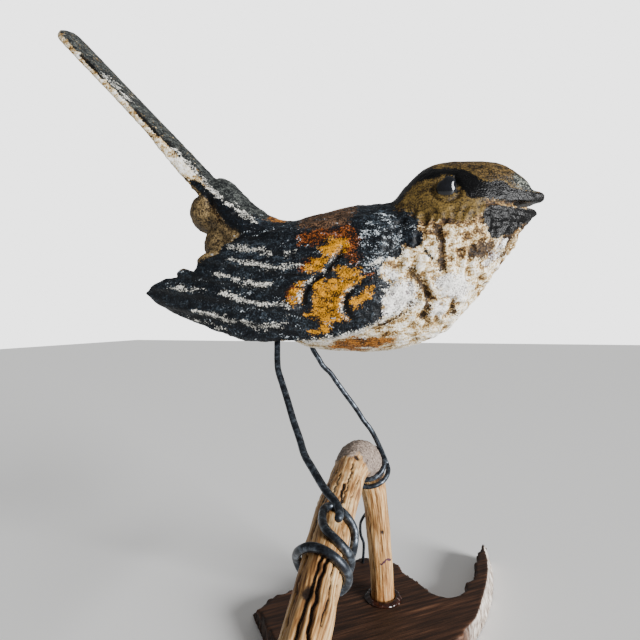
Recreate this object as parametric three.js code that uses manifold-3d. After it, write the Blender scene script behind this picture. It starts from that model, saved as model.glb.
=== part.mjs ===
// Wren carving: a small painted wooden bird on wire legs. The wires are wound round a bent stick,
// and the stick stands in a broken wooden slab.
// Millimetres, +Z up. The bird looks along +X, its left side is +Y and its tail is cocked towards -X.
// The origin is on the slab's underside, right below the foot of the stick.

import * as THREE from 'three';
import { mergeVertices } from 'three/addons/utils/BufferGeometryUtils.js';
import Module from 'manifold-3d';

// Driving dimensions of the whole object
const SLAB_THICKNESS = 7.8;
const PERCH_HEIGHT = 63.2;
const PERCH_FREE_END = -120;
const POST_RADIUS = 4;
const POST_SUNK = 5;
const WIRE_DIAMETER = 1.6;
const STAY_DIAMETER = 1.1;
const BELLY_HEIGHT = 96;
const BIRD_MIDDLE_Y = -34;
// Clear space between fitted pieces, and the wider one round wound wires, which are drawn with flats
const FIT_GAP = 0.3;
const COIL_GAP = 0.45;

// Colours, as seen on the worn object
const PAINTED_WOOD = 0x6f6350;
const PEELED_WOOD = 0x9a7646;
const STAINED_WOOD = 0x3f2c20;
const STEEL = 0x4a4e55;
const GLUE = 0x5a4636;

// Helpers for smooth lines

function clamp01(value) {
  return Math.min(1, Math.max(0, value));
}

function smoothStep(from, to, value) {
  const share = clamp01((value - from) / (to - from));
  return share * share * (3 - 2 * share);
}

// A smooth function through [x, value] points, sorted by x, which stays level past both ends
function smoothLine(points) {
  const slopes = points.map((point, i) => {
    const before = points[Math.max(0, i - 1)];
    const after = points[Math.min(points.length - 1, i + 1)];
    return (after[1] - before[1]) / (after[0] - before[0]);
  });
  return (x) => {
    if (x <= points[0][0]) return points[0][1];
    const i = points.findIndex((point) => point[0] >= x);
    if (i < 0) return points[points.length - 1][1];
    const [x0, v0] = points[i - 1];
    const [x1, v1] = points[i];
    const span = x1 - x0;
    const t = (x - x0) / span;
    const t2 = t * t;
    const t3 = t2 * t;
    return (2 * t3 - 3 * t2 + 1) * v0 + (t3 - 2 * t2 + t) * span * slopes[i - 1]
      + (3 * t2 - 2 * t3) * v1 + (t3 - t2) * span * slopes[i];
  };
}

function curveThrough(points) {
  return new THREE.CatmullRomCurve3(points.map((point) => new THREE.Vector3(...point)), false, 'centripetal');
}

// Helpers for closed solids

function signedVolume(positions, faces) {
  const a = new THREE.Vector3();
  const b = new THREE.Vector3();
  const c = new THREE.Vector3();
  let volume = 0;
  for (let i = 0; i < faces.length; i += 3) {
    a.fromArray(positions, 3 * faces[i]);
    b.fromArray(positions, 3 * faces[i + 1]);
    c.fromArray(positions, 3 * faces[i + 2]);
    volume += a.dot(b.cross(c)) / 6;
  }
  return volume;
}

function closedGeometry(positions, faces) {
  const outward = signedVolume(positions, faces) > 0;
  const ordered = outward ? faces : faces.map((_, i) => faces[i - (i % 3) + (2 - (i % 3))]);
  const geometry = new THREE.BufferGeometry();
  geometry.setAttribute('position', new THREE.Float32BufferAttribute(positions, 3));
  geometry.setIndex(ordered);
  return geometry;
}

// A skin over rings of equal point counts, each end closed by a fan to the middle of its ring
function loft(rings) {
  const sides = rings[0].length;
  const positions = rings.flat().flatMap((point) => point.toArray());
  const faces = [];
  for (let i = 0; i < rings.length - 1; i++) {
    for (let j = 0; j < sides; j++) {
      const next = (j + 1) % sides;
      const a = i * sides + j;
      const b = i * sides + next;
      faces.push(a, b, b + sides, a, b + sides, a + sides);
    }
  }
  [0, rings.length - 1].forEach((i) => {
    const middle = rings[i].reduce((sum, point) => sum.add(point), new THREE.Vector3()).divideScalar(sides);
    const centre = positions.length / 3;
    positions.push(...middle.toArray());
    for (let j = 0; j < sides; j++) {
      const a = i * sides + j;
      const b = i * sides + (j + 1) % sides;
      if (i === 0) faces.push(centre, b, a);
      else faces.push(centre, a, b);
    }
  });
  return closedGeometry(positions, faces);
}

const wasm = await Module();
wasm.setup();

function toSolid(geometry) {
  const bare = geometry.clone();
  bare.deleteAttribute('normal');
  bare.deleteAttribute('uv');
  const merged = mergeVertices(bare, 1e-4);
  return new wasm.Manifold(new wasm.Mesh({
    numProp: 3,
    vertProperties: new Float32Array(merged.attributes.position.array),
    triVerts: new Uint32Array(merged.index.array),
  }));
}

function toGeometry(solid) {
  const mesh = solid.getMesh();
  const geometry = new THREE.BufferGeometry();
  geometry.setAttribute('position', new THREE.Float32BufferAttribute(mesh.vertProperties, 3));
  geometry.setIndex(Array.from(mesh.triVerts));
  geometry.computeVertexNormals();
  return geometry;
}

function join(geometries) {
  return geometries.map(toSolid).reduce((whole, solid) => whole.add(solid));
}

// A round wire along a path of points
const WIRE_SIDES = 8;

function wireGeometry(points, diameter, steps) {
  const section = new THREE.Shape();
  for (let i = 0; i < WIRE_SIDES; i++) {
    const angle = 2 * Math.PI * i / WIRE_SIDES;
    const x = diameter / 2 * Math.cos(angle);
    const y = diameter / 2 * Math.sin(angle);
    if (i === 0) section.moveTo(x, y);
    else section.lineTo(x, y);
  }
  section.closePath();
  return new THREE.ExtrudeGeometry(section, { steps, extrudePath: curveThrough(points) });
}

// The bird's body: side outline and widths along x, with z above the lowest point of the belly

const backLine = smoothLine([
  [-50, 43], [-46, 50.8], [-42, 50.2], [-36, 44.2], [-28, 38.6], [-22, 37.4], [-16, 38.6], [-4, 40.7],
  [6.3, 41.4], [9.6, 45.4], [15, 50], [22, 51.1], [28, 50.8], [33.9, 49.9], [40.1, 45.6], [43, 40.2],
]);
const bellyLine = smoothLine([
  [-50, 43], [-48, 36], [-38, 20], [-30, 9.9], [-24, 4.3], [-17.7, 1.1], [-4, 0], [4, 0.3],
  [10.2, 1.5], [15.8, 3.6], [21.1, 6.9], [25.5, 11.8], [33.1, 21.3], [40.1, 32.9], [43, 37],
]);
const bellyWidth = smoothLine([
  [-50, 2], [-46, 6.5], [-38, 10], [-30, 12.8], [-20, 15.2], [-8, 16.8], [4, 17], [12, 16.6],
  [20, 15], [28, 12.2], [34, 8.6], [38, 5.8], [43, 2.4],
]);
const backWidth = smoothLine([
  [-50, 2], [-46, 7], [-38, 9.5], [-30, 11.5], [-20, 14], [-8, 16], [2, 15.5], [8, 13.2], [14, 12],
  [20, 12.3], [28, 11], [34, 8.2], [38, 5.6], [43, 2.4],
]);
const BODY_TAIL_END = -49.5;
const BODY_FACE_END = 42.6;
const BODY_RINGS = 28;
const BODY_SIDES = 22;

function bodyRing(x) {
  const top = backLine(x);
  const bottom = bellyLine(x);
  const ring = [];
  for (let j = 0; j < BODY_SIDES; j++) {
    const angle = 2 * Math.PI * j / BODY_SIDES;
    const rise = Math.sin(angle);
    const width = THREE.MathUtils.lerp(bellyWidth(x), backWidth(x), smoothStep(-0.2, 0.75, rise));
    const z = (top + bottom) / 2 + (top - bottom) / 2 * rise;
    ring.push(new THREE.Vector3(x, width * Math.cos(angle), z));
  }
  return ring;
}

function bodyGeometry() {
  const rings = [];
  for (let i = 0; i < BODY_RINGS; i++) {
    // stations lie closer together at both ends, where the outline turns fast
    const share = 0.5 - 0.5 * Math.cos(Math.PI * i / (BODY_RINGS - 1));
    const even = i / (BODY_RINGS - 1);
    rings.push(bodyRing(THREE.MathUtils.lerp(BODY_TAIL_END, BODY_FACE_END, (share + even) / 2)));
  }
  return loft(rings);
}

// The wings: slabs over the flanks, whose ends stand free past the rump.
// Long feathers are gouged channels with a ridge between each two.

const FEATHER_PITCH = 4.85;
const FEATHER_SLOPE = -0.165;
const LOWEST_RIDGE_Z = 7;
const LOWEST_RIDGE_X = -22;
const FEATHER_RIDGE = 0.9;
const COVERT_LIP = 1.1;

const wingLowLine = smoothLine([
  [-63, 16.1], [-60.5, 13.9], [-55, 11], [-46, 7.6], [-38.6, 5.2], [-31, 3.1], [-23, 3.1],
  [-8.4, 4.4], [-2, 5.8], [5, 9.5], [9, 12.5], [13, 17],
]);
const wingCoverLine = smoothLine([
  [-41.5, 27.9], [-37, 29.5], [-30, 31.5], [-20, 33.5], [-5, 35.5], [5, 36], [10, 34], [13, 31],
]);
// Upper outline of the free feather tips, stepped where one feather ends above the next
const FEATHER_TIP_OUTLINE = [
  [-63, 16.6], [-59.5, 19.2], [-56.6, 20.5], [-52.3, 20.7], [-51.9, 22.4], [-50.5, 23.2], [-47.2, 22.1],
  [-46.2, 22.5], [-45.8, 25.6], [-43.7, 27.2], [-41.5, 27.9],
];
const wingWidth = smoothLine([
  [-62.5, 12.6], [-50, 14.8], [-40, 16.4], [-30, 17.4], [-20, 18], [-8, 18.3], [2, 18], [8, 16.4], [13, 13.4],
]);
const wingThickness = smoothLine([[-62.5, 2], [-56, 3], [-40, 4.4], [-25, 6.5], [13, 7]]);
const wingTopDrop = smoothLine([[-62.5, 0.6], [-45, 1.6], [-25, 4], [0, 5.6], [13, 6]]);
// Edge of each row of coverts, as [z, x]
const longCovertEdge = smoothLine([[12, -15.6], [14.1, -16], [18.1, -13.9], [21.6, -9.5], [26.3, -6.2], [28, -6.4]]);
const smallCovertEdge = smoothLine([[8, -3], [9.4, -4.1], [11.3, -5.5], [14.8, -5], [16.7, -3.4], [18.2, -0.5]]);

function wingTopLine(x) {
  const i = FEATHER_TIP_OUTLINE.findIndex((point) => point[0] >= x);
  if (i < 0) return wingCoverLine(x);
  if (i === 0) return FEATHER_TIP_OUTLINE[0][1];
  const [x0, z0] = FEATHER_TIP_OUTLINE[i - 1];
  const [x1, z1] = FEATHER_TIP_OUTLINE[i];
  return THREE.MathUtils.mapLinear(x, x0, x1, z0, z1);
}

function covertLip(distance, window) {
  return distance > 0 ? COVERT_LIP * Math.exp(-distance / 5) * window : 0;
}

function wingRelief(x, z) {
  const row = (z - LOWEST_RIDGE_Z - FEATHER_SLOPE * (x - LOWEST_RIDGE_X)) / FEATHER_PITCH;
  const ridge = 1 - Math.abs(Math.sin(Math.PI * row));
  const behindCoverts = 1 - smoothStep(0, 4, x - longCovertEdge(z) + 3);
  const longLip = covertLip(x - longCovertEdge(z), smoothStep(11, 14, z) * (1 - smoothStep(26, 29, z)));
  const smallLip = covertLip(x - smallCovertEdge(z), smoothStep(7, 9.5, z) * (1 - smoothStep(17, 19.5, z)));
  return FEATHER_RIDGE * ridge * behindCoverts + longLip + smallLip;
}

const WING_ROWS = 16;
const WING_INNER_ROWS = 4;

function wingRing(x, side) {
  const top = wingTopLine(x);
  const low = wingLowLine(x);
  const outside = (share) => {
    const z = THREE.MathUtils.lerp(top, low, share);
    const drop = share < 0.5 ? wingTopDrop(x) * (1 - 2 * share) ** 2 : 2.2 * (2 * share - 1) ** 2;
    return wingWidth(x) - drop + (share > 0 && share < 1 ? wingRelief(x, z) : 0);
  };
  const ring = [];
  for (let j = 0; j <= WING_ROWS; j++) {
    const share = j / WING_ROWS;
    ring.push(new THREE.Vector3(x, side * outside(share), THREE.MathUtils.lerp(top, low, share)));
  }
  for (let j = 0; j <= WING_INNER_ROWS; j++) {
    const share = 1 - j / WING_INNER_ROWS;
    const edge = j === 0 || j === WING_INNER_ROWS ? 0.35 : 1;
    const inset = Math.min(0.45, (top - low) * 0.2) * (1 - 2 * share);
    const z = THREE.MathUtils.lerp(top, low, share) - inset;
    ring.push(new THREE.Vector3(x, side * (outside(share) - wingThickness(x) * edge), z));
  }
  return ring;
}

function wingGeometry(side) {
  const stations = [
    -62.9, -61, -59.5, -57.5, -55, -52.3, -51.9, -50.5, -48.5, -46.2, -45.8, -43.7, -41, -37, -32, -27,
    -22.5, -19, -16.5, -14.5, -12.5, -10.5, -8.5, -6.5, -5, -3.5, -1.5, 1, 4.5, 8.5, 12.5,
  ];
  return loft(stations.map((x) => wingRing(x, side)));
}

// The cocked tail: an arched board, thicker where it grows out of the rump

const TAIL_START = [-33, 36.9];
const TAIL_END = [-95.8, 101.6];
const TAIL_ARCH = 2;
const TAIL_SIDES = 10;
const TAIL_STATIONS = [0, 0.1, 0.2, 0.32, 0.45, 0.6, 0.75, 0.87, 0.93, 0.97, 1];
const tailHalfWidth = smoothLine([[0, 6.5], [0.2, 7.4], [0.6, 8.6], [0.9, 9.3], [0.95, 8.7], [1, 5.6]]);
const tailEdge = smoothLine([[0, 4.8], [0.3, 3.8], [0.5, 2.5], [1, 2.2]]);

function tailGeometry() {
  const along = new THREE.Vector2(TAIL_END[0] - TAIL_START[0], TAIL_END[1] - TAIL_START[1]);
  const up = new THREE.Vector2(along.y, -along.x).normalize();
  const rings = [];
  for (const share of TAIL_STATIONS) {
    const crown = new THREE.Vector2(...TAIL_START).addScaledVector(along, share);
    const ring = [];
    const addPoint = (across, depth) => {
      const spot = crown.clone().addScaledVector(up, -depth);
      ring.push(new THREE.Vector3(spot.x, tailHalfWidth(share) * across, spot.y));
    };
    for (let j = 0; j <= TAIL_SIDES; j++) {
      const across = 1 - 2 * j / TAIL_SIDES;
      addPoint(across, TAIL_ARCH * across * across);
    }
    for (let j = 0; j <= TAIL_SIDES; j++) {
      const across = 2 * j / TAIL_SIDES - 1;
      addPoint(across, TAIL_ARCH + tailEdge(share) - 0.6 * (1 - across * across));
    }
    rings.push(ring);
  }
  return loft(rings);
}

// Round parts of the bird: undertail feathers in two lobes, and the eyes

function lobe(centre, radii) {
  const geometry = new THREE.SphereGeometry(1, 14, 9);
  geometry.scale(...radii);
  geometry.translate(...centre);
  return geometry;
}

const UNDERTAIL_LOBES = [
  { centre: [-48, 0, 41], radii: [6.5, 7.2, 6.4] },
  { centre: [-42.5, 0, 31], radii: [7.2, 8.4, 7] },
];
const EYE_CENTRE = [20, 9.9, 41.3];
const EYE_RADII = [2.6, 1.5, 2.3];

// The bill: two blunt mandibles with an open mouth between them

function mandible(stations) {
  const sides = 12;
  return loft(stations.map(({ x, z, halfWidth, halfHeight }) => {
    const ring = [];
    for (let j = 0; j < sides; j++) {
      const angle = 2 * Math.PI * j / sides;
      ring.push(new THREE.Vector3(x, halfWidth * Math.cos(angle), z + halfHeight * Math.sin(angle)));
    }
    return ring;
  }));
}

const UPPER_MANDIBLE = [
  { x: 35, z: 41.2, halfWidth: 4.6, halfHeight: 2.6 },
  { x: 39, z: 41, halfWidth: 3.6, halfHeight: 2.1 },
  { x: 42.4, z: 40.7, halfWidth: 2.3, halfHeight: 1.75 },
  { x: 44.2, z: 40.6, halfWidth: 1.5, halfHeight: 1.35 },
  { x: 45, z: 40.6, halfWidth: 0.7, halfHeight: 0.7 },
];
const LOWER_MANDIBLE = [
  { x: 35, z: 35.6, halfWidth: 4.2, halfHeight: 2.4 },
  { x: 39, z: 35.8, halfWidth: 3.2, halfHeight: 1.7 },
  { x: 41.6, z: 36.2, halfWidth: 1.9, halfHeight: 1.1 },
  { x: 43.3, z: 36.5, halfWidth: 0.7, halfHeight: 0.45 },
];
// Side view of the mouth opening, cut right across the bill
const MOUTH_CORNER = [31, 38];
const MOUTH_OPEN = [[47, 39.5], [47, 36.9]];

function mouthGeometry() {
  const halfAcross = 12;
  const outline = [MOUTH_CORNER, ...MOUTH_OPEN];
  return loft([-halfAcross, halfAcross].map((y) => outline.map(([x, z]) => new THREE.Vector3(x, y, z))));
}

// Wires, with their paths in the frame of the whole object.
// Each leg starts in a hole drilled in the belly.

const NEAR_LEG_PATH = [
  [-25.6, -43, 111.5], [-24.4, -45, 106], [-23.3, -47, 99.2], [-21.9, -51.2, 94.6], [-20.9, -53.6, 92.3],
  [-18.7, -56.7, 88.9], [-16.6, -59.8, 85.9], [-14, -63.8, 82.1], [-11.5, -67.3, 78.7], [-9.7, -70, 76.2],
  [-7.3, -72.5, 74.1], [-3.8, -76.3, 71.4], [-1.2, -78.8, 70], [-0.2, -80.6, 68.9], [-0.2, -82.3, 68.1],
];
const FAR_LEG_TOP = [
  [-22.8, -22.4, 109], [-21.6, -22, 103], [-19.8, -21.7, 95.7], [-18.2, -20.9, 92.8], [-16.8, -20.1, 90.2],
  [-14.8, -19.2, 88.1], [-12.9, -18.4, 85.2], [-10.4, -17.3, 81.4], [-8.1, -16.4, 78.1], [-6.4, -15.5, 75.4],
  [-4.8, -14.7, 72.6], [-2.4, -13.9, 69.3],
];

const branchPath = [
  [1.2, PERCH_FREE_END, PERCH_HEIGHT], [0.4, -108.7, PERCH_HEIGHT], [-1.4, -90.6, PERCH_HEIGHT],
  [-3.4, -70.4, PERCH_HEIGHT], [-4.6, -50.2, 63.4], [-5.1, -33.6, 63.6], [-4.9, -24.4, 63],
  [-4.4, -13.1, 58.9], [-3.5, -5.4, 50.8], [-2.4, -3, 42.8], [-0.9, -1.2, 24.8], [0, 0, SLAB_THICKNESS],
  [0, 0, SLAB_THICKNESS - POST_SUNK],
];
const branchCurve = curveThrough(branchPath);
// Radius of the stick by the share of its length, from the free end of the perch to the foot
const branchRadius = smoothLine([
  [0, 3.1], [0.07, 3.3], [0.17, 3.7], [0.28, 4.15], [0.45, 4.4], [0.55, 5], [0.62, 5.2], [0.7, 4.8],
  [0.76, 4.2], [0.82, 4], [1, POST_RADIUS],
]);
const BRANCH_RINGS = 26;
const BRANCH_SIDES = 16;

// Sideways and upward directions of the cut across the stick at a share of its length
function branchCut(share) {
  const along = branchCurve.getTangentAt(share);
  const sideways = new THREE.Vector3(1, 0, 0).addScaledVector(along, -along.x).normalize();
  const upward = new THREE.Vector3().crossVectors(sideways, along).normalize();
  return { centre: branchCurve.getPointAt(share), sideways, upward };
}

function branchGeometry() {
  const rings = [];
  for (let i = 0; i <= BRANCH_RINGS; i++) {
    const share = i / BRANCH_RINGS;
    const { centre, sideways, upward } = branchCut(share);
    const radius = branchRadius(share) * (i === 0 ? 0.86 : 1);
    const ring = [];
    for (let j = 0; j < BRANCH_SIDES; j++) {
      const angle = 2 * Math.PI * j / BRANCH_SIDES;
      ring.push(centre.clone()
        .addScaledVector(sideways, radius * Math.cos(angle))
        .addScaledVector(upward, radius * Math.sin(angle)));
    }
    rings.push(ring);
  }
  return loft(rings);
}

// A point of a winding: turn is the angle round the stick in degrees, 0 on top and 90 on the +X side
function windingPoint(share, turn, clearance) {
  const { centre, sideways, upward } = branchCut(share);
  const distance = branchRadius(share) + WIRE_DIAMETER / 2 + clearance;
  const angle = THREE.MathUtils.degToRad(turn);
  return centre.addScaledVector(sideways, distance * Math.sin(angle))
    .addScaledVector(upward, distance * Math.cos(angle)).toArray();
}

// The share of the stick's length at which the straight perch reaches a given y
function perchShare(y) {
  let share = 0;
  while (branchCurve.getPointAt(share).y < y) share += 0.0005;
  return share;
}

// Tie wire of the near foot: an eye on top of the perch and a winding in front of it, as [turn, y]
const NEAR_TIE_TURNS = [
  [185, -83.4], [150, -82.8], [120, -81.2], [100, -78.8], [75, -77.8], [45, -77.4], [24, -76.6], [5, -75.6],
  [-11, -77], [-13, -79.6], [-8, -83], [6, -86.4], [32, -88.4], [60, -88.5], [95, -87], [140, -86.6],
  [185, -86.2], [230, -86.2], [265, -87], [290, -88.8], [312, -90.4], [335, -91.6], [360, -92.8], [390, -93.7],
  [420, -93.5], [450, -92.2], [480, -90.8], [505, -90.3],
];

function nearTiePath() {
  return NEAR_TIE_TURNS.map(([turn, y]) => windingPoint(perchShare(y), turn, COIL_GAP));
}

// The far leg ends in two turns round the knee of the stick, as [turn, share of the length, clearance]
const FAR_COIL_START = 60;
const FAR_COIL_END = 548;
const FAR_COIL_STEP = 30;

function farLegPath() {
  const path = FAR_LEG_TOP.slice();
  for (let turn = FAR_COIL_START; turn <= FAR_COIL_END; turn += FAR_COIL_STEP) {
    const progress = (turn - FAR_COIL_START) / (FAR_COIL_END - FAR_COIL_START);
    const share = THREE.MathUtils.lerp(0.685, 0.64, progress);
    const clearance = THREE.MathUtils.lerp(0.8, COIL_GAP, smoothStep(0.3, 0.7, progress));
    path.push(windingPoint(share, turn, clearance));
  }
  return path;
}

// Thin stay wire from the far corner of the slab to the back of the post
const STAY_PATH = [
  [-10.2, 22.6, SLAB_THICKNESS + COIL_GAP], [-9.6, 20.4, 13], [-9.2, 17.6, 18.1], [-9.8, 14.2, 22.6],
  [-9.4, 10.2, 28.1], [-8.5, 7.3, 31.2], [-6.6, 5.2, 34.6], [-3.4, 4.2, 37.6],
];

// The slab: a rounded near side and a broken far side. Each point is [x, y] on top and,
// where the side leans, the [x, y] of its underside after it.

const SLAB_RIM = [
  [38.9, 52.3, 41.4, 52.6], [38.4, 47.8, 41.5, 46.5], [38.6, 40.5, 41.2, 38.9], [38.2, 31, 40.2, 29.8],
  [36.7, 20.4, 38.4, 19.4], [33.6, 6.6, 34.9, 6.4], [30.5, -4.6], [26.9, -11.5], [24.3, -16.9], [16.5, -30],
  [7, -44.5], [-3, -54.5], [-10.5, -55], [-17.5, -47.5], [-24.5, -37.5], [-31.3, -27.8], [-35.1, -22.5],
  [-39.8, -16, -45.6, -7.4],
];
const SLAB_BREAK = [
  [-38.4, -12.6, -42, -6], [-36.2, -6.9, -37.4, -3.5], [-32.6, -3.6], [-27, 3], [-20, 12.6], [-13.6, 23.6],
  [-11.2, 26.8], [-4.5, 27.2], [2.3, 25.6], [6.8, 18], [12.5, 12.3], [17.8, 6.4], [22.9, 5.9], [26.8, 8.6],
  [30.3, 17.7], [33, 22.4], [33.2, 27.8], [34.6, 36.4], [36.7, 44],
];

function slabGeometry() {
  const outline = [...SLAB_RIM, ...SLAB_BREAK];
  const top = outline.map(([x, y]) => new THREE.Vector2(x, y));
  const underside = outline.map(([x, y, lowX = x, lowY = y]) => new THREE.Vector2(lowX, lowY));
  const count = outline.length;
  const positions = [];
  top.forEach((point) => positions.push(point.x, point.y, SLAB_THICKNESS));
  underside.forEach((point) => positions.push(point.x, point.y, 0));
  const faces = [];
  for (let i = 0; i < count; i++) {
    const next = (i + 1) % count;
    faces.push(i, next, count + next, i, count + next, count + i);
  }
  THREE.ShapeUtils.triangulateShape(top, []).forEach(([a, b, c]) => faces.push(a, b, c));
  THREE.ShapeUtils.triangulateShape(underside, []).forEach(([a, b, c]) => {
    faces.push(count + c, count + b, count + a);
  });
  return closedGeometry(positions, faces);
}

// Glue round the foot of the post: a low ring on the slab
const GLUE_WIDTH = 2;
const GLUE_HEIGHT = 1.3;

function glueGeometry() {
  const inner = POST_RADIUS + COIL_GAP;
  const profile = [
    new THREE.Vector2(inner, 0),
    new THREE.Vector2(inner + GLUE_WIDTH, 0),
    new THREE.Vector2(inner + GLUE_WIDTH * 0.7, GLUE_HEIGHT * 0.45),
    new THREE.Vector2(inner + GLUE_WIDTH * 0.2, GLUE_HEIGHT),
    new THREE.Vector2(inner, GLUE_HEIGHT),
    new THREE.Vector2(inner, 0),
  ];
  const ring = new THREE.LatheGeometry(profile, 18);
  ring.rotateX(Math.PI / 2);
  return ring;
}

// A straight drill along two points, wide enough for a wire or the post
function drill(from, to, radius) {
  const start = new THREE.Vector3(...from);
  const end = new THREE.Vector3(...to);
  const along = end.clone().sub(start);
  const geometry = new THREE.CylinderGeometry(radius, radius, along.length(), 16);
  geometry.applyQuaternion(new THREE.Quaternion().setFromUnitVectors(new THREE.Vector3(0, 1, 0),
    along.normalize()));
  const middle = start.add(end).multiplyScalar(0.5);
  geometry.translate(middle.x, middle.y, middle.z);
  return geometry;
}

function birdSolid() {
  const eyes = [-1, 1].map((side) => lobe([EYE_CENTRE[0], side * EYE_CENTRE[1], EYE_CENTRE[2]], EYE_RADII));
  const whole = join([
    bodyGeometry(),
    wingGeometry(-1),
    wingGeometry(1),
    tailGeometry(),
    ...UNDERTAIL_LOBES.map(({ centre, radii }) => lobe(centre, radii)),
    mandible(UPPER_MANDIBLE),
    mandible(LOWER_MANDIBLE),
    ...eyes,
  ]);
  const open = whole.subtract(toSolid(mouthGeometry()));
  return open.translate([0, BIRD_MIDDLE_Y, BELLY_HEIGHT]);
}

const nearLeg = wireGeometry(NEAR_LEG_PATH, WIRE_DIAMETER, 26);
const farLeg = wireGeometry(farLegPath(), WIRE_DIAMETER, 50);
const legHole = WIRE_DIAMETER / 2 + COIL_GAP;

function legHoles() {
  const pairs = [
    [NEAR_LEG_PATH[0], NEAR_LEG_PATH[1]], [NEAR_LEG_PATH[1], NEAR_LEG_PATH[2]],
    [FAR_LEG_TOP[0], FAR_LEG_TOP[1]], [FAR_LEG_TOP[1], FAR_LEG_TOP[2]],
  ];
  return join(pairs.map(([from, to]) => {
    const start = new THREE.Vector3(...from);
    const end = new THREE.Vector3(...to);
    const further = start.clone().sub(end).normalize();
    return drill(start.addScaledVector(further, 0.6).toArray(), end.addScaledVector(further, -0.6).toArray(), legHole);
  }));
}

const bird = toGeometry(birdSolid().subtract(legHoles()));
const slab = toGeometry(toSolid(slabGeometry()).subtract(toSolid(drill(
  [0, 0, SLAB_THICKNESS - POST_SUNK - FIT_GAP], [0, 0, SLAB_THICKNESS + 1], POST_RADIUS + FIT_GAP + 0.1,
))));

function finish(color, roughness, metalness) {
  return new THREE.MeshStandardMaterial({ color, roughness, metalness });
}

function addPiece(name, geometry, material, group) {
  const mesh = new THREE.Mesh(geometry, material);
  mesh.name = name;
  group.add(mesh);
  return mesh;
}

const carving = new THREE.Group();
addPiece('wren', bird, finish(PAINTED_WOOD, 0.6, 0), carving);
addPiece('near_leg_wire', nearLeg, finish(STEEL, 0.4, 0.9), carving);
addPiece('near_foot_tie_wire', wireGeometry(nearTiePath(), WIRE_DIAMETER, 50), finish(STEEL, 0.4, 0.9), carving);
addPiece('far_leg_wire', farLeg, finish(STEEL, 0.4, 0.9), carving);
addPiece('bent_branch', branchGeometry(), finish(PEELED_WOOD, 0.75, 0), carving);
addPiece('base_slab', slab, finish(STAINED_WOOD, 0.7, 0), carving);
addPiece('glue_bead', glueGeometry(), finish(GLUE, 0.4, 0), carving)
  .position.set(0, 0, SLAB_THICKNESS + FIT_GAP);
addPiece('stay_wire', wireGeometry(STAY_PATH, STAY_DIAMETER, 16), finish(STEEL, 0.5, 0.9), carving);

export default carving;
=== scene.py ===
# A small painted wooden wren stands on stiff wire legs. The wires are wound round a bent, peeled stick,
# and the stick is glued upright into a broken, dark-stained wooden slab.
# +X is where the beak points, +Y the bird's left and +Z up; each section's own sizes are in millimetres.

import math
import bpy
import numpy as np
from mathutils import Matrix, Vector, noise


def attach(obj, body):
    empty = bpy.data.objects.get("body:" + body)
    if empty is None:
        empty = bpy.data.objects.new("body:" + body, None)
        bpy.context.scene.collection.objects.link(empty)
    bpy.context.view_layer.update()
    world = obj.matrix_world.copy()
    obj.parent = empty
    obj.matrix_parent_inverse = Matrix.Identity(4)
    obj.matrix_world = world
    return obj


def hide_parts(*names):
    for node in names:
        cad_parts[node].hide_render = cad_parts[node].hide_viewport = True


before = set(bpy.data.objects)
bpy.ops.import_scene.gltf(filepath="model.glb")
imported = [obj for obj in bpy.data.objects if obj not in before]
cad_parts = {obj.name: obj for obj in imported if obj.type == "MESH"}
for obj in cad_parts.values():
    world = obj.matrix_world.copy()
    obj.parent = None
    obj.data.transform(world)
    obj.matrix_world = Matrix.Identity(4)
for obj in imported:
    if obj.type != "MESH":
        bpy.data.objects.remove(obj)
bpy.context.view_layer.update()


# The slab
# A scrap of softwood board, stained dark brown. The far side is snapped off across the grain
# and the right-hand side is a paler, weathered slope. A hole takes the foot of the stick.

MM = 0.001
SLAB_THICKNESS = 7.8
POST_RADIUS = 4
SOCKET_RADIUS = 4.3
SOCKET_DEPTH = 5.3
SLAB_GRIT = 0.5
# Each point is x, y on top and x, y on the underside
SLAB_RIM = [
    (38.9, 52.3, 41.4, 52.6), (38.4, 47.8, 41.5, 46.5), (38.6, 40.5, 41.2, 38.9), (38.2, 31, 40.2, 29.8),
    (36.7, 20.4, 38.4, 19.4), (33.6, 6.6, 34.9, 6.4), (30.5, -4.6, 30.5, -4.6), (26.9, -11.5, 26.9, -11.5),
    (24.3, -16.9, 24.3, -16.9), (16.5, -30, 16.5, -30), (7, -44.5, 7, -44.5), (-3, -54.5, -3, -54.5),
    (-10.5, -55, -10.5, -55), (-17.5, -47.5, -17.5, -47.5), (-24.5, -37.5, -24.5, -37.5),
    (-31.3, -27.8, -31.3, -27.8), (-35.1, -22.5, -35.1, -22.5), (-39.8, -16, -45.6, -7.4)]
SLAB_BREAK = [
    (-39.8, -16, -45.6, -7.4), (-38.4, -12.6, -42, -6), (-36.2, -6.9, -37.4, -3.5), (-32.6, -3.6, -32.6, -3.6),
    (-27, 3, -27, 3), (-20, 12.6, -20, 12.6), (-13.6, 23.6, -13.6, 23.6), (-11.2, 26.8, -11.2, 26.8),
    (-4.5, 27.2, -4.5, 27.2), (2.3, 25.6, 2.3, 25.6), (6.8, 18, 6.8, 18), (12.5, 12.3, 12.5, 12.3),
    (17.8, 6.4, 17.8, 6.4), (22.9, 5.9, 22.9, 5.9), (26.8, 8.6, 26.8, 8.6), (30.3, 17.7, 30.3, 17.7),
    (33, 22.4, 33, 22.4), (33.2, 27.8, 33.2, 27.8), (34.6, 36.4, 34.6, 36.4), (36.7, 44, 36.7, 44),
    (38.9, 52.3, 41.4, 52.6)]


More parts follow.
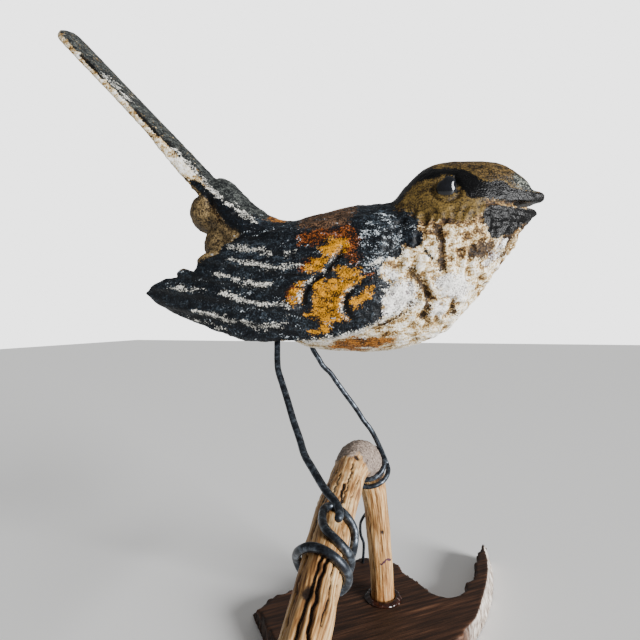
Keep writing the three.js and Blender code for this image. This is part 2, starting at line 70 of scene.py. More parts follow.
def curve_through(points, count):
    """Evenly spaced points along a smooth curve through the given ones."""
    points = np.array(points, float)
    run_up = np.vstack([2 * points[0] - points[1], points, 2 * points[-1] - points[-2]])
    t = np.linspace(0, 1, 40, endpoint=False)[:, None]
    spans = []
    for p0, p1, p2, p3 in zip(run_up, run_up[1:], run_up[2:], run_up[3:]):
        d0, d1, d2 = (math.sqrt(np.linalg.norm(b - a)) for a, b in ((p0, p1), (p1, p2), (p2, p3)))
        leave = ((p1 - p0) / d0 - (p2 - p0) / (d0 + d1) + (p2 - p1) / d1) * d1
        arrive = ((p2 - p1) / d1 - (p3 - p1) / (d1 + d2) + (p3 - p2) / d2) * d1
        spans.append((2 * t**3 - 3 * t**2 + 1) * p1 + (t**3 - 2 * t**2 + t) * leave
                     + (3 * t**2 - 2 * t**3) * p2 + (t**3 - t**2) * arrive)
    dense = np.vstack(spans + [points[-1:]])
    run = np.concatenate([[0], np.cumsum(np.linalg.norm(np.diff(dense, axis=0), axis=1))])
    return np.stack([np.interp(np.linspace(0, run[-1], count), run, column) for column in dense.T], axis=1)


def smooth_step(low, high, value):
    share = np.clip((value - low) / (high - low), 0, 1)
    return share * share * (3 - 2 * share)


def mix(a, b, share):
    return a + (b - a) * share


def read_points(piece):
    """The piece's vertices in millimetres."""
    points = np.empty(3 * len(piece.data.vertices))
    piece.data.vertices.foreach_get("co", points)
    return points.reshape(-1, 3) / MM


def write_points(piece, points):
    piece.data.vertices.foreach_set("co", (points * MM).ravel())
    piece.data.update()


def read_normals(piece):
    normals = np.empty(3 * len(piece.data.vertices))
    piece.data.vertices.foreach_get("normal", normals)
    return normals.reshape(-1, 3)


def pick(piece):
    bpy.ops.object.select_all(action='DESELECT')
    piece.select_set(True)
    bpy.context.view_layer.objects.active = piece


def apply_modifier(piece, kind, **settings):
    pick(piece)
    modifier = piece.modifiers.new(kind.lower(), kind)
    for key, value in settings.items():
        setattr(modifier, key, value)
    bpy.ops.object.modifier_apply(modifier=modifier.name)


def cut_away(piece, tool):
    apply_modifier(piece, 'BOOLEAN', operation='DIFFERENCE', object=tool, solver='EXACT')
    bpy.data.objects.remove(tool)


def rough(points, size, seed=0):
    """Noise between about -1 and 1 at each point, with lumps of the given size in millimetres."""
    shift = Vector((17.3 * seed, 5.1 * seed, 9.7 * seed))
    return np.array([noise.noise(Vector(point) + shift) for point in points / size]) * 2


slab_outline = np.vstack([curve_through(SLAB_RIM, 120)[:-1], curve_through(SLAB_BREAK, 120)[:-1]])
bpy.ops.object.select_all(action='DESELECT')
bpy.ops.mesh.primitive_cylinder_add(vertices=len(slab_outline), radius=1, depth=2)
slab = bpy.context.object
slab.name = "stained_slab"
points = read_points(slab) * MM
around = np.round(np.arctan2(points[:, 1], points[:, 0]) % (2 * math.pi), 4)
place = len(slab_outline) - 1 - np.searchsorted(np.unique(around), around)
top = points[:, 2] > 0
points[top, :2] = slab_outline[place[top], :2]
points[~top, :2] = slab_outline[place[~top], 2:]
points[:, 2] = np.where(top, SLAB_THICKNESS, 0)
write_points(slab, points)
bpy.ops.object.select_all(action='DESELECT')
bpy.ops.mesh.primitive_cylinder_add(vertices=48, radius=SOCKET_RADIUS * MM, depth=2 * SOCKET_DEPTH * MM,
                                    location=(0, 0, SLAB_THICKNESS * MM))
cut_away(slab, bpy.context.object)
apply_modifier(slab, 'REMESH', mode='VOXEL', voxel_size=SLAB_GRIT * MM)

def hex_colour(code):
    """An sRGB hex colour as the linear colour that a node takes."""
    parts = [int(code[i:i + 2], 16) / 255 for i in (1, 3, 5)]
    return (*((part / 12.92 if part <= 0.04045 else ((part + 0.055) / 1.055)**2.4) for part in parts), 1)


def add_node(material, kind, inputs=None, **settings):
    """A node with its settings; an input is a value or the socket that feeds it."""
    node = material.node_tree.nodes.new(kind)
    for key, value in settings.items():
        setattr(node, key, value)
    for socket, value in (inputs or {}).items():
        if isinstance(value, bpy.types.NodeSocket):
            material.node_tree.links.new(value, node.inputs[socket])
        else:
            node.inputs[socket].default_value = value
    return node


def keep_values(piece, name, values):
    """Stores one number per vertex for the material to read."""
    layer = piece.data.attributes.new(name, 'FLOAT', 'POINT')
    layer.data.foreach_set("value", np.asarray(values, np.float32))


# Splinters stand out of the snapped side, saw marks cross the slope, and worn grain runs over the top
GRAIN_TURN = math.radians(36)
GRAIN_AXIS = np.array([math.cos(GRAIN_TURN), math.sin(GRAIN_TURN), 0])

points = read_points(slab)
normals = read_normals(slab)
slab_x, slab_y, slab_z = points.T
upright = 1 - smooth_step(0.5, 0.8, np.abs(normals[:, 2]))
slope = upright * smooth_step(24, 31, slab_x + 0.16 * slab_y) * smooth_step(-0.1, 0.35, normals[:, 0])
squeezed = points - np.outer(points @ GRAIN_AXIS, GRAIN_AXIS) * 0.9
splinters = rough(squeezed * [1, 1, 0.35], 1.3, 1) * 0.55 + rough(points, 3.4, 2) * 0.5
saw_marks = rough(points * [0.25, 1, 0.3], 1.1, 3)
grain = rough(squeezed * [1, 1, 0.2], 0.9, 4)
slab_marks = mix(0.1 * grain, mix(splinters, 0.16 * saw_marks, slope), upright)
in_socket = np.hypot(slab_x, slab_y) < SOCKET_RADIUS + 1
write_points(slab, points + normals * (slab_marks * ~in_socket * smooth_step(0.2, 1.2, slab_z))[:, None])
keep_values(slab, "slope", slope)
keep_values(slab, "side", upright)
keep_values(slab, "height", np.clip(slab_marks / 0.3, -1.5, 1.5))

# Stained softwood: the dark stain has sunk into the early wood and leaves fine streaks along the grain.
# The sawn slope took hardly any stain and has weathered silver grey.
GRAIN_PITCH = 0.9
STREAK_LENGTH = 22
STAIN = ((0.2, "#120a06"), (0.45, "#2b1a10"), (0.62, "#40281a"), (0.85, "#6b4a34"))
SLOPE_WOOD = ((0.2, "#51443a"), (0.42, "#8d7f74"), (0.6, "#bdb2a6"), (0.85, "#d9d4cf"))

stained = bpy.data.materials.new("stained_softwood_board")
stained.use_nodes = True
skin = stained.node_tree.nodes["Principled BSDF"]
place = add_node(stained, 'ShaderNodeTexCoord').outputs["Object"]
turned = add_node(stained, 'ShaderNodeMapping', {0: place, "Rotation": (0, 0, -GRAIN_TURN)}).outputs[0]
stretched = add_node(stained, 'ShaderNodeMapping', {0: turned, "Scale": (GRAIN_PITCH / STREAK_LENGTH, 1, 0.5)}).outputs[0]
fibres = add_node(stained, 'ShaderNodeTexNoise', {"Vector": stretched, "Scale": 1 / (GRAIN_PITCH * MM), "Detail": 4,
                                                  "Roughness": 0.65}).outputs[0]
bands = add_node(stained, 'ShaderNodeMapping', {0: turned, "Scale": (0.2, 1, 1)}).outputs[0]
patches = add_node(stained, 'ShaderNodeTexNoise', {"Vector": bands, "Scale": 1 / (9 * MM), "Detail": 3}).outputs[0]
height = add_node(stained, 'ShaderNodeAttribute', attribute_name="height").outputs["Fac"]
lines = add_node(stained, 'ShaderNodeMath', {0: fibres, 1: 1.1, 2: -0.28}, operation='MULTIPLY_ADD').outputs[0]
lines = add_node(stained, 'ShaderNodeMath', {0: patches, 1: 0.45, 2: lines}, operation='MULTIPLY_ADD').outputs[0]
lines = add_node(stained, 'ShaderNodeMath', {0: height, 1: 0.05, 2: lines}, operation='MULTIPLY_ADD').outputs[0]
tones = []
for tone_list in (STAIN, SLOPE_WOOD):
    ramp = add_node(stained, 'ShaderNodeValToRGB', {0: lines})
    for spot, code in tone_list[1:-1]:
        ramp.color_ramp.elements.new(spot)
    for element, (spot, code) in zip(ramp.color_ramp.elements, tone_list):
        element.position, element.color = spot, hex_colour(code)
    tones.append(ramp)
across = add_node(stained, 'ShaderNodeMapping', {0: place, "Scale": (0.15, 1, 0.35)}).outputs[0]
stripes = add_node(stained, 'ShaderNodeTexNoise', {"Vector": across, "Scale": 1 / (1.1 * MM), "Detail": 3}).outputs[0]
stained.node_tree.links.new(add_node(stained, 'ShaderNodeMath', {0: stripes, 1: 1.6, 2: -0.28},
                                     operation='MULTIPLY_ADD').outputs[0], tones[1].inputs[0])
slope_cover = add_node(stained, 'ShaderNodeAttribute', attribute_name="slope").outputs["Fac"]
colour = add_node(stained, 'ShaderNodeMix', {0: slope_cover, 6: tones[0].outputs[0], 7: tones[1].outputs[0]},
                  data_type='RGBA').outputs[2]
stained.node_tree.links.new(colour, skin.inputs["Base Color"])
skin.inputs["Roughness"].default_value = 0.62
skin.inputs["Specular IOR Level"].default_value = 0.3
bump = add_node(stained, 'ShaderNodeBump', {"Height": fibres, "Strength": 0.7, "Distance": 0.2 * MM})
stained.node_tree.links.new(bump.outputs[0], skin.inputs["Normal"])
slab.data.materials.append(stained)
pick(slab)
bpy.ops.object.shade_smooth()
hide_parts("base_slab")
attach(slab, "root")


# The stick
# A finger-thick branch, peeled and weathered. Its level part is the perch and its upright part the post,
# and a swelling with a patch of old bark marks the bend. Drying cracks run along it.

BRANCH_PATH = [
    (1.2, -120, 63.2), (0.4, -108.7, 63.2), (-1.4, -90.6, 63.2), (-3.4, -70.4, 63.2), (-4.6, -50.2, 63.4),
    (-5.1, -33.6, 63.6), (-4.9, -24.4, 63), (-4.4, -13.1, 58.9), (-3.5, -5.4, 50.8), (-2.4, -3, 42.8),
    (-0.9, -1.2, 24.8), (0, 0, 7.8), (0, 0, 2.8)]
BRANCH_STATIONS = 2001


def smooth_line(points):
    """A smooth function through (x, value) points, level past both ends, for numbers and arrays."""
    xs, values = np.array(points, float).T
    before = np.maximum(np.arange(len(xs)) - 1, 0)
    after = np.minimum(np.arange(len(xs)) + 1, len(xs) - 1)
    slopes = (values[after] - values[before]) / (xs[after] - xs[before])

    def line(x):
        x = np.clip(x, xs[0], xs[-1])
        i = np.clip(np.searchsorted(xs, x), 1, len(xs) - 1)
        span = xs[i] - xs[i - 1]
        t = (x - xs[i - 1]) / span
        start = (2 * t**3 - 3 * t**2 + 1) * values[i - 1] + (t**3 - 2 * t**2 + t) * span * slopes[i - 1]
        return start + (3 * t**2 - 2 * t**3) * values[i] + (t**3 - t**2) * span * slopes[i]
    return line


def shaped(name, rings, sides, place):
    """A sphere with its rings moved: place(share, turn) gives millimetres for a share of the length
    and a turn round it in radians. The two poles close the ends."""
    bpy.ops.object.select_all(action='DESELECT')
    bpy.ops.mesh.primitive_uv_sphere_add(segments=sides, ring_count=rings)
    piece = bpy.context.object
    piece.name = name
    sphere = read_points(piece) * MM
    down = np.arccos(np.clip(sphere[:, 2], -1, 1)) / math.pi * rings
    share = np.clip((down - 1) / (rings - 2), 0, 1)
    points = place(share, np.arctan2(sphere[:, 1], sphere[:, 0]))
    poles = (down < 0.5) | (down > rings - 0.5)
    for pole in np.flatnonzero(poles):
        ring = ~poles & (np.abs(share - share[pole]) < 0.1 / rings)
        points[pole] = points[ring].mean(axis=0)
    write_points(piece, points)
    pick(piece)
    bpy.ops.object.mode_set(mode='EDIT')
    bpy.ops.mesh.select_all(action='SELECT')
    bpy.ops.mesh.normals_make_consistent(inside=False)
    bpy.ops.object.mode_set(mode='OBJECT')
    return piece


branch_middle = curve_through(BRANCH_PATH, BRANCH_STATIONS)
branch_along = np.gradient(branch_middle, axis=0)
branch_along /= np.linalg.norm(branch_along, axis=1)[:, None]
branch_sideways = np.array([1, 0, 0]) - branch_along * branch_along[:, :1]
branch_sideways /= np.linalg.norm(branch_sideways, axis=1)[:, None]
branch_upward = np.cross(branch_sideways, branch_along)
branch_radius = smooth_line([
    (0, 3.1), (0.07, 3.3), (0.17, 3.7), (0.28, 4.15), (0.45, 4.4), (0.55, 5), (0.62, 5.2), (0.7, 4.8),
    (0.76, 4.2), (0.82, 4), (1, POST_RADIUS)])


def round_branch(share, turn, distance):
    """A point beside the stick's axis: turn is 0 on top of the perch and a right angle on the +X side."""
    station = np.round(share * (BRANCH_STATIONS - 1)).astype(int)
    sideways, upward = np.sin(turn)[..., None], np.cos(turn)[..., None]
    around = branch_sideways[station] * sideways + branch_upward[station] * upward
    return branch_middle[station] + around * np.asarray(distance)[..., None]


def line_distance(x, z, line):
    """Distance from a broken line, for points given by two coordinates."""
    nearest = np.full(len(x), np.inf)
    for (ax, az), (bx, bz) in zip(line, line[1:]):
        dx, dz = bx - ax, bz - az
        t = np.clip(((x - ax) * dx + (z - az) * dz) / (dx * dx + dz * dz), 0, 1)
        nearest = np.minimum(nearest, np.hypot(x - ax - t * dx, z - az - t * dz))
    return nearest


def depth_inside(x, z, outline):
    """How far inside a closed outline of the side view each point lies; negative outside."""
    closed = [*outline, outline[0]]
    inside = np.zeros(len(x), bool)
    for (ax, az), (bx, bz) in zip(closed, closed[1:]):
        if az != bz:
            inside ^= ((az > z) != (bz > z)) & (x < ax + (z - az) / (bz - az) * (bx - ax))
    nearest = line_distance(x, z, closed)
    return np.where(inside, nearest, -nearest)


# Drying cracks: half width, depth, and course as share of the length and turn in degrees
CRACKS = [
    (0.28, 0.7, [(0.17, 6), (0.156, 5), (0.129, 5), (0.104, -3), (0.07, -6), (0.02, -9)]),
    (0.3, 0.8, [(0.165, 20), (0.145, 19), (0.118, 14), (0.089, 16), (0.064, 18), (0.02, 24)]),
    (0.22, 0.5, [(0.17, -36), (0.13, -42), (0.09, -39), (0.03, -42)]),
    (0.22, 0.5, [(0.16, 43), (0.118, 48), (0.07, 45)]),
    (0.2, 0.4, [(0.2, 66), (0.164, 69), (0.11, 75)]),
    (0.3, 0.7, [(0.36, 17), (0.301, 20), (0.262, 32)]),
    (0.22, 0.5, [(0.45, 18), (0.4, 25), (0.339, 27), (0.3, 30)]),
    (0.22, 0.4, [(0.43, 61), (0.38, 55), (0.332, 52), (0.26, 57)]),
    (0.26, 0.6, [(0.42, -30), (0.364, -34), (0.32, -35), (0.25, -38), (0.2, -40)]),
    (0.2, 0.4, [(0.25, 35), (0.228, 53), (0.19, 55)]),
    (0.2, 0.4, [(0.4, -8), (0.33, -6), (0.26, -10)]),
    (0.2, 0.4, [(0.44, -62), (0.33, -66), (0.2, -70)]),
    (0.18, 0.35, [(0.9, -150), (0.82, -146), (0.74, -150)]),
    (0.16, 0.3, [(0.86, 165), (0.8, 160), (0.73, 164)]),
]
KNOTS = [(0.103, -10, 1.1), (0.478, 25, 0.9), (0.82, 150, 0.6)]
SCAR = [(0.882, 110), (0.876, 140), (0.884, 172)]
# The old bark's edge on the bend, as share of the length and turn
BARK_PATCH = [(0.46, -40), (0.475, -15), (0.468, 12), (0.5, 26), (0.487, 41), (0.476, 67), (0.5, 100), (0.56, 140),
              (0.64, 175), (0.69, 120), (0.69, 40), (0.67, -40), (0.6, -90), (0.5, -80)]
SIDES = 112
LENGTHWISE = 420
branch_length = np.linalg.norm(np.diff(branch_middle, axis=0), axis=1).sum()


def unrolled(course):
    """Share and turn as millimetres along the stick and millimetres round it."""
    share, degrees = np.array(course, float).T
    return list(zip(share * branch_length, np.radians(degrees) * 4.3))


def branch_place(share, turn):
    return round_branch(share, turn, branch_radius(share) * mix(0.86, 1, smooth_step(0, 0.012, share)))


branch = shaped("peeled_stick", LENGTHWISE, SIDES, branch_place)
points = read_points(branch)
normals = read_normals(branch)
station = np.empty(len(points), int)
for begin in range(0, len(points), 4000):
    part = points[begin:begin + 4000]
    apart = part[:, None] - branch_middle[None, ::4]
    station[begin:begin + 4000] = 4 * (apart**2).sum(axis=2).argmin(axis=1)
from_axis = points - branch_middle[station]
turn = np.arctan2((from_axis * branch_sideways[station]).sum(axis=1), (from_axis * branch_upward[station]).sum(axis=1))
run = station / (BRANCH_STATIONS - 1) * branch_length
arc = turn * 4.3
rolled = np.stack([4.3 * np.cos(turn), 4.3 * np.sin(turn), run], axis=1)
crack = np.zeros(len(points))
for half_width, depth, course in CRACKS:
    wander = 0.25 * rough(rolled * [0, 0, 1] + [half_width * 90, 0, 0], 2.2, 7)
    crack = np.maximum(crack, depth * np.exp(-(line_distance(run, arc + wander, unrolled(course)) / half_width)**2))
knot = np.zeros(len(points))
for share, degrees, size in KNOTS:
    (knot_run, knot_arc), = unrolled([(share, degrees)])
    knot = np.maximum(knot, np.exp(-(((run - knot_run) / 1.6)**2 + (arc - knot_arc)**2) / size**2))
bark = depth_inside(run, arc, unrolled(BARK_PATCH))
barked = smooth_step(-0.6, 0.8, bark)
fibre = rough(rolled * [1, 1, 0.07], 0.7, 5)
ripple = rough(rolled * [1, 1, 0.35], 3.2, 6)
branch_marks = (mix(0.07 * fibre, 0.16 * rough(rolled, 0.9, 8), barked) + 0.13 * ripple + 0.18 * barked
                - crack - 0.35 * knot)
write_points(branch, points + normals * branch_marks[:, None])
keep_values(branch, "crack", crack + 0.6 * knot)
keep_values(branch, "bark", bark)
keep_values(branch, "run", run)
keep_values(branch, "scar", 0.35 - line_distance(run, arc, unrolled(SCAR)))
along_grain = branch.data.attributes.new("rolled", 'FLOAT_VECTOR', 'POINT')
along_grain.data.foreach_set("vector", rolled.astype(np.float32).ravel())

# Peeled wood: honey brown fibres with dark drying lines, darker and redder at the foot, where glue has soaked in.
# The patch of bark left on the bend is grey brown and finely speckled.
FIBRE_WIDTH = 0.55
FIBRE_STRETCH = 0.06
WOOD = ((0.22, "#33200f"), (0.4, "#6f4a26"), (0.55, "#a67c4b"), (0.72, "#cfae7e"), (0.9, "#e3cda6"))

peeled = bpy.data.materials.new("weathered_peeled_branch_wood")
peeled.use_nodes = True
skin = peeled.node_tree.nodes["Principled BSDF"]
rolled_out = add_node(peeled, 'ShaderNodeAttribute', attribute_name="rolled").outputs["Vector"]
drawn = add_node(peeled, 'ShaderNodeMapping', {0: rolled_out, "Scale": (1, 1, FIBRE_STRETCH)}).outputs[0]
fibres = add_node(peeled, 'ShaderNodeTexNoise', {"Vector": drawn, "Scale": 1 / FIBRE_WIDTH, "Detail": 4,
                                                 "Roughness": 0.62}).outputs[0]
patched = add_node(peeled, 'ShaderNodeMapping', {0: rolled_out, "Scale": (1, 1, 0.22)}).outputs[0]
patches = add_node(peeled, 'ShaderNodeTexNoise', {"Vector": patched, "Scale": 1 / 3.4, "Detail": 3}).outputs[0]
specks = add_node(peeled, 'ShaderNodeTexNoise', {"Vector": rolled_out, "Scale": 1 / 0.6, "Detail": 3}).outputs[0]
tone = add_node(peeled, 'ShaderNodeMath', {0: fibres, 1: 1.2, 2: -0.34}, operation='MULTIPLY_ADD').outputs[0]
tone = add_node(peeled, 'ShaderNodeMath', {0: patches, 1: 0.6, 2: tone}, operation='MULTIPLY_ADD').outputs[0]
wood = add_node(peeled, 'ShaderNodeValToRGB', {0: tone})
for spot, code in WOOD[1:-1]:
    wood.color_ramp.elements.new(spot)
for element, (spot, code) in zip(wood.color_ramp.elements, WOOD):
    element.position, element.color = spot, hex_colour(code)
# Coats over the wood: attribute, its span, noise that frays the edge, dark and light colour
COATS = [
    ("run", 150, 166, 6, "#4a2410", "#a9682c"),
    ("bark", -0.1, 0.3, 3.5, "#3a2e28", "#a8978a"),
    ("scar", -0.1, 0.1, 0.8, "#20101a", "#4c2c38"),
    ("crack", 0.1, 0.42, 0.3, "#120a06", "#2c1a0e"),
]
colour = wood.outputs[0]
for name, start, end, fray, dark, light in COATS:
    value = add_node(peeled, 'ShaderNodeAttribute', attribute_name=name).outputs["Fac"]
    value = add_node(peeled, 'ShaderNodeMath', {0: specks, 1: fray, 2: value}, operation='MULTIPLY_ADD').outputs[0]
    cover = add_node(peeled, 'ShaderNodeMapRange', {"Value": value, "From Min": start + fray / 2,
                                                    "From Max": end + fray / 2}, interpolation_type='SMOOTHSTEP').outputs[0]
    shade = add_node(peeled, 'ShaderNodeMath', {0: specks, 1: 2.6, 2: -0.8}, operation='MULTIPLY_ADD', use_clamp=True).outputs[0]
    coat = add_node(peeled, 'ShaderNodeMix', {0: shade, 6: hex_colour(dark), 7: hex_colour(light)}, data_type='RGBA')
    if name == "run":
        cover = add_node(peeled, 'ShaderNodeMath', {0: cover, 1: 0.6}, operation='MULTIPLY').outputs[0]
    colour = add_node(peeled, 'ShaderNodeMix', {0: cover, 6: colour, 7: coat.outputs[2]}, data_type='RGBA').outputs[2]
peeled.node_tree.links.new(colour, skin.inputs["Base Color"])
skin.inputs["Roughness"].default_value = 0.58
skin.inputs["Specular IOR Level"].default_value = 0.3
bump = add_node(peeled, 'ShaderNodeBump', {"Height": fibres, "Strength": 0.6, "Distance": 0.2 * MM})
peeled.node_tree.links.new(bump.outputs[0], skin.inputs["Normal"])
branch.data.materials.append(peeled)
pick(branch)
bpy.ops.object.shade_smooth()
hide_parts("bent_branch")
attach(branch, "root")


# Glue at the foot of the post
# A ring of dried brown glue that squeezed out of the hole and was left as it ran.

GLUE_INNER = 4.05
GLUE_OUTER = 6.45
GLUE_HEIGHT = 1.3

bpy.ops.object.select_all(action='DESELECT')
bpy.ops.mesh.primitive_torus_add(major_segments=120, minor_segments=24, major_radius=1, minor_radius=0.5)
glue = bpy.context.object
glue.name = "glue_ring"
points = read_points(glue) * MM
around = np.arctan2(points[:, 1], points[:, 0])
reach = np.hypot(points[:, 0], points[:, 1]) - 1
ring = mix(GLUE_INNER, GLUE_OUTER, reach + 0.5)
height = np.where(points[:, 2] > 0, points[:, 2] * 2 * GLUE_HEIGHT * np.sqrt(np.clip(0.85 - reach, 0, 1)), 0)
write_points(glue, np.stack([ring * np.cos(around), ring * np.sin(around), SLAB_THICKNESS + 0.05 + height], axis=1))
points = read_points(glue)
swell = rough(points, 2.2, 1) * 0.5 + rough(points, 0.9, 2) * 0.2
reach = np.hypot(points[:, 0], points[:, 1])
points[:, :2] *= (1 + 0.35 * swell * smooth_step(GLUE_INNER, GLUE_OUTER, reach) / reach)[:, None]
points[:, 2] = np.where(points[:, 2] > SLAB_THICKNESS + 0.1, points[:, 2] + 0.25 * swell, points[:, 2])
write_points(glue, points)

# Dried hide glue: clear dark brown and glossy, with whitish smears where it was wiped
hide_glue = bpy.data.materials.new("dried_hide_glue")
hide_glue.use_nodes = True
skin = hide_glue.node_tree.nodes["Principled BSDF"]
place = add_node(hide_glue, 'ShaderNodeTexCoord').outputs["Object"]
smears = add_node(hide_glue, 'ShaderNodeTexNoise', {"Vector": place, "Scale": 1 / (1.6 * MM), "Detail": 4}).outputs[0]
body = add_node(hide_glue, 'ShaderNodeValToRGB', {0: smears})
body.color_ramp.elements.new(0.62)
for element, (spot, code) in zip(body.color_ramp.elements, ((0.35, "#120604"), (0.62, "#2e1208"), (0.7, "#8b7f78"))):
    element.position, element.color = spot, hex_colour(code)
hide_glue.node_tree.links.new(body.outputs[0], skin.inputs["Base Color"])
skin.inputs["Roughness"].default_value = 0.18
glue.data.materials.append(hide_glue)
pick(glue)
bpy.ops.object.shade_smooth()
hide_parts("glue_bead")
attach(glue, "root")


# The stay wire
# A thin rusty wire that braces the back of the post. A lump of dark glue holds its foot on the slab.

STAY_DIAMETER = 1.1
STAY_PATH = [
    (-10.2, 22.6, 7.6), (-9.6, 20.4, 13), (-9.2, 17.6, 18.1), (-9.8, 14.2, 22.6), (-9.4, 10.2, 28.1),
    (-8.5, 7.3, 31.2), (-6.6, 5.2, 34.6), (-3.4, 4.2, 37.6)]


def wire(name, path, diameter, count, sides=20):
    """A round wire along a path, with rounded ends."""
    middle = curve_through(path, count)
    along = np.gradient(middle, axis=0)
    along /= np.linalg.norm(along, axis=1)[:, None]
    aside = np.empty_like(along)
    aside[0] = np.cross(along[0], [0.3, 0.5, 0.8])
    for i in range(count):
        previous = aside[max(i - 1, 0)]
        aside[i] = previous - along[i] * (previous @ along[i])
        aside[i] /= np.linalg.norm(aside[i])
    across = np.cross(along, aside)

    def place(share, turn):
        station = np.round(share * (count - 1)).astype(int)
        from_end = np.minimum(station, count - 1 - station) * np.linalg.norm(middle[1] - middle[0])
        radius = diameter / 2 * np.sqrt(mix(0.3, 1, smooth_step(0, diameter / 3, from_end)))
        ring = aside[station] * np.cos(turn)[:, None] + across[station] * np.sin(turn)[:, None]
        return middle[station] + ring * radius[:, None]
    return shaped(name, count + 1, sides, place)


stay = wire("stay_wire", STAY_PATH, STAY_DIAMETER, 160)

# Steel wire blackened by annealing: a thin dark oxide, rubbed to bare grey metal on its high spots
annealed = bpy.data.materials.new("black_annealed_steel_wire")
annealed.use_nodes = True
skin = annealed.node_tree.nodes["Principled BSDF"]
place = add_node(annealed, 'ShaderNodeTexCoord').outputs["Object"]
scale_spots = add_node(annealed, 'ShaderNodeTexNoise', {"Vector": place, "Scale": 1 / (1.3 * MM), "Detail": 5,
                                                        "Roughness": 0.65}).outputs[0]
oxide = add_node(annealed, 'ShaderNodeValToRGB', {0: scale_spots})
oxide.color_ramp.elements.new(0.5)
for element, (spot, code) in zip(oxide.color_ramp.elements, ((0.32, "#15161a"), (0.5, "#2f343b"), (0.72, "#6e7883"))):
    element.position, element.color = spot, hex_colour(code)
annealed.node_tree.links.new(oxide.outputs[0], skin.inputs["Base Color"])
annealed.node_tree.links.new(add_node(annealed, 'ShaderNodeMapRange', {"Value": scale_spots, "From Min": 0.3,
    "From Max": 0.7, "To Min": 0.5, "To Max": 0.3}).outputs[0], skin.inputs["Roughness"])
skin.inputs["Metallic"].default_value = 0.75
bump = add_node(annealed, 'ShaderNodeBump', {"Height": scale_spots, "Strength": 0.5, "Distance": 0.08 * MM})
annealed.node_tree.links.new(bump.outputs[0], skin.inputs["Normal"])
stay.data.materials.append(annealed)
pick(stay)
bpy.ops.object.shade_smooth()
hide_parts("stay_wire")
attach(stay, "root")


# The wren's form
# One block of soft wood, whittled to body, head, wings and tail and left with its tool marks.
# Its outlines are smooth lines over x, with z above the lowest point of the belly.

BELLY_HEIGHT = 96
BIRD_MIDDLE_Y = -34


BODY_ENDS = (-49.5, 42.6)
back_line = smooth_line([
    (-50, 43), (-46, 50.8), (-42, 50.2), (-36, 44.2), (-28, 38.6), (-22, 37.4), (-16, 38.6), (-4, 40.7),
    (6.3, 41.4), (9.6, 45.4), (15, 50), (22, 51.1), (28, 50.8), (33.9, 49.9), (40.1, 45.6), (43, 40.2)])
belly_line = smooth_line([
    (-50, 43), (-48, 36), (-38, 20), (-30, 9.9), (-24, 4.3), (-17.7, 1.1), (-4, 0), (4, 0.3),
    (10.2, 1.5), (15.8, 3.6), (21.1, 6.9), (25.5, 11.8), (33.1, 21.3), (40.1, 32.9), (43, 37)])
belly_width = smooth_line([
    (-50, 2), (-46, 6.5), (-38, 10), (-30, 12.8), (-20, 15.2), (-8, 16.8), (4, 17), (12, 16.6),
    (20, 15), (28, 12.2), (34, 8.6), (38, 5.8), (43, 2.4)])
back_width = smooth_line([
    (-50, 2), (-46, 7), (-38, 9.5), (-30, 11.5), (-20, 14), (-8, 16), (2, 15.5), (8, 13.2), (14, 12),
    (20, 12.3), (28, 11), (34, 8.2), (38, 5.6), (43, 2.4)])


def body_place(share, turn):
    x = mix(*BODY_ENDS, (share + 0.5 - 0.5 * np.cos(math.pi * share)) / 2)
    top, bottom = back_line(x), belly_line(x)
    rise = np.sin(turn)
    width = mix(belly_width(x), back_width(x), smooth_step(-0.2, 0.75, rise))
    return np.stack([x, width * np.cos(turn), (top + bottom) / 2 + (top - bottom) / 2 * rise], axis=1)


# The wings are boards over the flanks. Each long feather laps the one below it, with a steep lower edge.
FEATHER_PITCH = 4.85
FEATHER_SLOPE = -0.165
LOWEST_RIDGE = (-22, 7)
FEATHER_RIDGE = 1.0
OUTER_SHARE = 0.72
WING_ENDS = (-62.9, 12.5)
FEATHER_TIPS = [
    (-63, 16.6), (-59.5, 19.2), (-56.6, 20.5), (-52.3, 20.7), (-51.9, 22.4), (-50.5, 23.2), (-47.2, 22.1),
    (-46.2, 22.5), (-45.8, 25.6), (-43.7, 27.2), (-41.5, 27.9)]
wing_low_line = smooth_line([
    (-63, 16.1), (-60.5, 13.9), (-55, 11), (-46, 7.6), (-38.6, 5.2), (-31, 3.1), (-23, 3.1),
    (-8.4, 4.4), (-2, 5.8), (5, 9.5), (9, 12.5), (13, 17)])
wing_cover_line = smooth_line([
    (-41.5, 27.9), (-37, 29.5), (-30, 31.5), (-20, 33.5), (-5, 35.5), (5, 36), (10, 34), (13, 31)])
wing_width = smooth_line([
    (-62.5, 12.6), (-50, 14.8), (-40, 16.4), (-30, 17.4), (-20, 18), (-8, 18.3), (2, 18), (8, 16.4), (13, 13.4)])
wing_thickness = smooth_line([(-62.5, 2), (-56, 3), (-40, 4.4), (-25, 6.5), (13, 7)])
wing_top_drop = smooth_line([(-62.5, 0.6), (-45, 1.6), (-25, 4), (0, 5.6), (13, 6)])
# Edges of the two rows of coverts, as (z, x)
long_covert_edge = smooth_line([(12, -15.6), (14.1, -16), (18.1, -13.9), (21.6, -9.5), (26.3, -6.2), (28, -6.4)])
small_covert_edge = smooth_line([(8, -3), (9.4, -4.1), (11.3, -5.5), (14.8, -5), (16.7, -3.4), (18.2, -0.5)])


def wing_top_line(x):
    tips_x, tips_z = np.array(FEATHER_TIPS).T
    return np.where(x < tips_x[-1], np.interp(x, tips_x, tips_z), wing_cover_line(x))


def feather_share(x, z):
    """How far a point lies above the lower edge of its feather, as a share of the feather's width."""
    return ((z - LOWEST_RIDGE[1] - FEATHER_SLOPE * (x - LOWEST_RIDGE[0])) / FEATHER_PITCH) % 1


